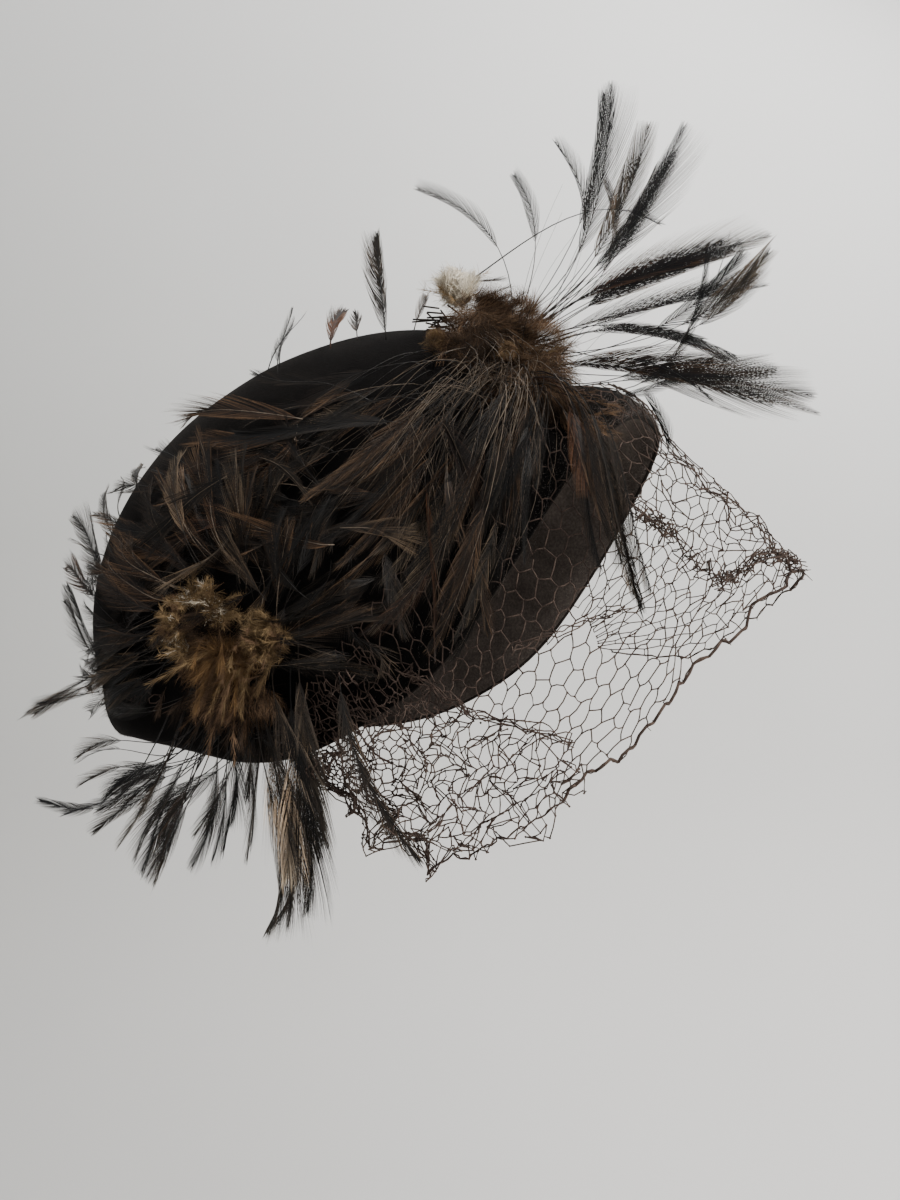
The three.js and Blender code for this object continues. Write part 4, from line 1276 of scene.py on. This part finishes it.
# ---------- Tufts ----------

# The sines that add up to a smooth random field of directions.
FIELD_WAVES = rng.normal(size=(3, 5, 3))
FIELD_PHASES = rng.uniform(0, 2 * np.pi, (3, 5))


def wander(places, size):
    """A smooth field of directions that changes over about `size` mm."""
    waves = np.einsum("pk,dwk->pdw", places / size, FIELD_WAVES) + FIELD_PHASES
    return np.sin(waves).sum(-1) / 1.6


def add_fluff(bag, centre, radii, flow, count, length, slots, fine=0.055, curl=0.8, matted=4.0):
    """Matted down: curling fibres that fill a rounded patch and flow one way. The fibres
    turn together over `matted` mm, which makes the locks."""
    inside = unit(rng.normal(size=(count, 3))) * rng.uniform(0.2, 1, (count, 1)) ** 0.4
    lumps = 1 + 0.22 * wander(inside * np.array(radii) + centre, 5.0)[:, :1]
    root = centre + inside * np.array(radii) * lumps
    way = unit(np.array(flow) + 0.9 * inside + curl * wander(root, matted)
               + 0.25 * rng.normal(size=root.shape))
    size = (length * rng.uniform(0.45, 1.2, count))[:, None]
    points = [root]
    for step in np.diff(BARB_STEPS):
        points.append(points[-1] + way * size * step)
        way = unit(way + 0.55 * curl * wander(points[-1] + 9.0, matted)
                   + 0.12 * rng.normal(size=way.shape))
    spread = unit(np.cross(way, rng.normal(size=way.shape)))
    patch = wander(root, 2.5 * matted)[:, 0]
    pick = np.clip((patch * 0.3 + 0.5 + 0.3 * rng.normal(size=count)) * len(slots), 0,
                   len(slots) - 1).astype(int)
    shade = np.clip(0.5 + 0.3 * wander(root, matted)[:, 1] + 0.15 * rng.normal(size=count), 0, 1)
    add_ribbons(bag, np.stack(points, 1), spread, fine * np.array([1, 0.95, 0.75]),
                np.array(slots)[pick], np.zeros(count), shade)


DARK_HAIR = [DARK_DOWN, DARK_DOWN, BROWN_DOWN]
BROWN_HAIR = [DARK_DOWN, BROWN_DOWN, BROWN_DOWN]
OLIVE_HAIR = [DARK_DOWN, BROWN_DOWN, BROWN_DOWN, OLIVE_DOWN]
# The brown body of the front tuft, from beside the pale tuft down over the crown's
# side: its place on the felt (angle, part, height); half size across and along; the
# way the hair flows in the side view; fibres; their length; colours.
FRONT_BODY = [
    (12, 0.70, 11, 7, 8, -40, 2700, 8, BROWN_HAIR),
    (10, 0.80, 12, 7, 8, -50, 2700, 9, BROWN_HAIR),
    (14, 0.90, 9, 7, 8, -60, 2700, 9, BROWN_HAIR),
    (22, 0.72, 9, 7, 8, -100, 2500, 8, BROWN_HAIR),
    (17, 0.82, 5, 7, 8, -60, 2500, 8, BROWN_HAIR),
    (30, 0.82, 6, 6, 9, -110, 2300, 10, BROWN_HAIR),
    (20, 0.94, 5, 6, 8, -60, 2300, 8, OLIVE_HAIR),
    (28, 0.96, 6, 6, 10, -95, 2500, 10, OLIVE_HAIR),
    (24, 1.12, 6, 6, 9, -60, 2400, 9, OLIVE_HAIR),
    (33, 1.16, 5, 5, 9, -95, 2400, 10, BROWN_HAIR),
    (29, 1.34, 5, 6, 8, -60, 2200, 9, OLIVE_HAIR),
    (34, 1.46, 4, 5, 8, -80, 1600, 9, BROWN_HAIR),
    (32, 1.64, 4, 4, 7, -60, 1200, 8, BROWN_HAIR),
    (31, 1.84, 3, 3, 5, -60, 600, 8, BROWN_HAIR),
]


# Golden puffs at its back edge and in its middle: angle, part, height, half size.
PUFFS = [(37, 0.77, 9, 4.2), (29, 0.92, 14, 2.8), (27, 1.10, 10, 4.2)]
QUILL_ENDS = 22  # cut ends that stick out beside the pale tuft


def make_front_tuft():
    bag = Bag()
    # The pale matted tuft, opening up and backwards.
    add_fluff(bag, PALE_TUFT, (5.5, 7.0, 7.0), heading(110) * 0.8, 3400, 7.0,
              [TAN_DOWN, PALE_DOWN, PALE_DOWN], fine=0.10, curl=0.9, matted=3.4)
    add_down(bag, PALE_TUFT, (2.5, 3.0, 3.0), [(heading(90), 0.6), (heading(150), 0.5)], 20,
             9.0, 4.0, 60, [PALE_DOWN, PALE_DOWN, TAN_DOWN], curl=0.5, fine=0.08)
    # Dark brown hair that stands forward from it.
    add_fluff(bag, place(38, 9, 14), (6.0, 8.0, 7.0), heading(12) * 1.2, 4200, 9.0, DARK_HAIR,
              curl=0.6)
    add_down(bag, place(36, 9, 16), (4.0, 5.0, 5.0), [(heading(22), 0.22), (heading(-4), 0.25)],
             34, 17, 7.0, 60, [BROWN_DOWN, BROWN_DOWN, DARK_DOWN], splay=(7, 22), curl=0.08)
    # Brown hair between them and the felt.
    add_fluff(bag, place(43, 1, 18), (6.0, 8.0, 8.0), heading(-50) * 1.1, 4200, 9.0, BROWN_HAIR,
              curl=0.6)
    add_fluff(bag, place(36, 2, 24), (5.0, 7.0, 7.0), heading(-95) * 1.1, 3000, 9.0, BROWN_HAIR,
              curl=0.6)
    bag.build("front_down", DOWN, "pale_down", "front_tuft")


def make_front_body():
    bag = Bag()
    away = felt_normal(30.0, 1.0)
    for angle, part, height, across, along, way, count, length, colours in FRONT_BODY:
        spot = over_felt(angle, part, height)
        add_fluff(bag, spot, (across, along, along), heading(way) * 1.1 + away * 0.3, count,
                  length, colours, fine=0.05, curl=0.6, matted=5.0)
        add_down(bag, spot, (3.0, 5.0, 4.0), [(away * 0.5 + heading(way), 0.4)], 4, 15, 5.0, 50,
                 colours, splay=(10, 36), curl=0.2)
    for angle, part, height, size in PUFFS:
        add_fluff(bag, over_felt(angle, part, height), (3.0, size, size * 1.1), away, 1300, 3.2,
                  [BROWN_DOWN, OLIVE_DOWN, OLIVE_DOWN], curl=1.0, matted=2.5)
    bag.build("front_body_down", DOWN, "pale_down")


def make_quill_ends():
    bag = Bag()
    for _ in range(QUILL_ENDS):
        root = place(23, 8, 21) + rng.normal(size=3) * np.array([2, 3, 2.4])
        way = unit(np.array([-0.35, 0.85, 0.05]) + 0.35 * rng.normal(size=3))
        size = rng.uniform(5, 11)
        line = np.array([root, root + way * size * 0.5, root + way * size])
        add_tube(bag, line, [0.34, 0.38, 0.34], 6, 0)
    bag.build("cut_quill_ends", [QUILL_END], "dark_hackle")


# The back tuft's pale ring: its locks of down and the colours that each may have.
RING_LOCKS = 30
RING_HAIR = [[OLIVE_DOWN, TAN_DOWN, PALE_DOWN], [TAN_DOWN, TAN_DOWN], [BROWN_DOWN, OLIVE_DOWN],
             [OLIVE_DOWN, TAN_DOWN], [BROWN_DOWN, OLIVE_DOWN, TAN_DOWN]]
RING, ROUND_TUFT = (103.5, 1.24), (94.0, 1.44)  # where they grow: angle, part


def make_back_tuft():
    bag = Bag()
    away = felt_normal(103.0, 1.36)
    down = heading(-95)
    ring = over_felt(*RING, 11.0)
    # The pale ring, open below.
    for turn in np.radians(rng.uniform(-165, 45, RING_LOCKS)):
        around = np.array([0, math.cos(turn), -math.sin(turn)])
        spot = ring + around * np.array([1, 9.5, 10.5]) + rng.normal(size=3) * 1.7
        size = rng.uniform(1.6, 3.4)
        colours = RING_HAIR[rng.integers(len(RING_HAIR))]
        add_fluff(bag, spot, (3.0, size, size), around * 0.5 + away * 0.4, 150, 4.6, colours,
                  fine=0.075, curl=1.0, matted=3.2)
        add_down(bag, spot, (1.2, 1.6, 1.6), [(around * 0.5 + away * 0.6, 0.6)], 4, 6.5, 2.6, 44,
                 colours, splay=(15, 50), curl=0.45, fine=0.065)
    add_fluff(bag, ring - away * 2, (3.0, 8.0, 8.0), away * 0.6, 2600, 4.0,
              [DARK_DOWN, BROWN_DOWN, AMBER_DOWN], curl=1.0, matted=3.0)
    # The round tuft in front of it.
    add_fluff(bag, over_felt(*ROUND_TUFT, 13.0), (4.5, 7.5, 9.0), away * 0.8, 4200, 4.6,
              [BROWN_DOWN, OLIVE_DOWN, OLIVE_DOWN], fine=0.06, curl=1.1, matted=2.6)
    add_down(bag, over_felt(*ROUND_TUFT, 14.0), (2.0, 5.0, 6.0), [(away, 0.55)], 46, 7.5, 3.0, 50,
             [OLIVE_DOWN, OLIVE_DOWN, TAN_DOWN, BROWN_DOWN], splay=(15, 50), curl=0.4, fine=0.06)
    # The amber fan and the brown one below it.
    add_fluff(bag, over_felt(103.0, 1.42, 10.0), (5.0, 14.0, 7.0), down * 1.2 + away * 0.5, 5200,
              8.0, [DARK_DOWN, BROWN_DOWN, BROWN_DOWN, AMBER_DOWN], curl=0.55)
    add_down(bag, over_felt(102.0, 1.40, 11.0), (2.0, 7.0, 4.0), [(down + away * 0.35, 0.25)], 30,
             20, 7.0, 70, [AMBER_DOWN, OLIVE_DOWN, BROWN_DOWN], splay=(7, 26), curl=0.1)
    add_fluff(bag, over_felt(107.0, 1.60, 8.0), (5.0, 16.0, 6.0), down * 1.2 + away * 0.4, 3600,
              7.0, [BROWN_DOWN, DARK_DOWN, BROWN_DOWN], curl=0.45)
    add_down(bag, over_felt(107.0, 1.56, 9.0), (2.0, 9.0, 3.0), [(down + away * 0.4, 0.3)], 24,
             16, 7.0, 70, [BROWN_DOWN, DARK_DOWN], splay=(7, 26), curl=0.1)
    bag.build("back_down", DOWN, "pale_down", "back_tuft")


make_front_tuft()
make_front_body()
make_quill_ends()
make_back_tuft()

# ---------- Backdrop ----------

# A floor that curves up into a wall, in metres.
WALL_BEHIND, FLOOR_BELOW, SWEEP_RADIUS, HALF_SPAN = 1.15, 0.80, 0.5, 5.0
FLOOR_FRONT, WALL_TOP_UP = 3.2, 3.0
# The paper carries painted light and shade: it is painted paler to picture right and at the top,
# darker to the left and low down.
# Along each of these stretches, in metres from the origin, its colour is multiplied by these stops.
PAPER_PAINTED_LIGHT_RIGHT = (-0.7, 0.5), [(0.0, (0.62, 0.62, 0.61)), (1.0, 1.0)]
PAPER_PAINTED_LIGHT_UP = (-0.55, 0.60), [(0.0, (0.80, 0.79, 0.78)), (0.45, (0.74, 0.74, 0.73)), (1.0, 1.0)]


def make_backdrop():
    turns = np.linspace(0, math.pi / 2, 24)
    profile = [(FLOOR_FRONT, -FLOOR_BELOW)]
    profile += [(-(WALL_BEHIND - SWEEP_RADIUS) - SWEEP_RADIUS * math.sin(a),
                 -FLOOR_BELOW + SWEEP_RADIUS * (1 - math.cos(a))) for a in turns]
    profile.append((-WALL_BEHIND, WALL_TOP_UP))
    verts = np.array([in_view(side, up, near) for near, up in profile
                      for side in (-HALF_SPAN, HALF_SPAN)])
    steps = np.arange(len(profile) - 1) * 2
    faces = np.stack([steps, steps + 1, steps + 3, steps + 2], -1)
    s = Shading("backdrop_paper_painted_light")
    paper = s.ramp(s.noise(2.0, 2.0), [(0.3, (0.89, 0.89, 0.885)), (0.7, (0.93, 0.93, 0.925))])
    spot = s.node("ShaderNodeTexCoord")
    turn = s.node("ShaderNodeMapping", vector_type="TEXTURE", Rotation=(0.0, 0.0, VIEW))
    parts = s.node("ShaderNodeSeparateXYZ")
    s.link(spot.outputs["Object"], turn.inputs["Vector"])
    s.link(turn.outputs["Vector"], parts.inputs["Vector"])
    # Painted light and shade: the paper's colour is darkened to picture left and low down.
    for axis, (stretch, stops) in [("Z", PAPER_PAINTED_LIGHT_UP), ("X", PAPER_PAINTED_LIGHT_RIGHT)]:
        span = s.node("ShaderNodeMapRange")
        s.link(parts.outputs[axis], span.inputs["Value"])
        span.inputs["From Min"].default_value, span.inputs["From Max"].default_value = stretch
        paper = s.multiply(paper, s.ramp(span.outputs["Result"], stops))
    s.link(paper, s.shader.inputs["Base Color"])
    s.bump(s.noise(300.0, 2.0), 0.05, 0.001)
    s.set(Roughness=0.9, Specular_IOR_Level=0.2)
    mesh_object("backdrop", verts, faces, [s.material])


make_backdrop()
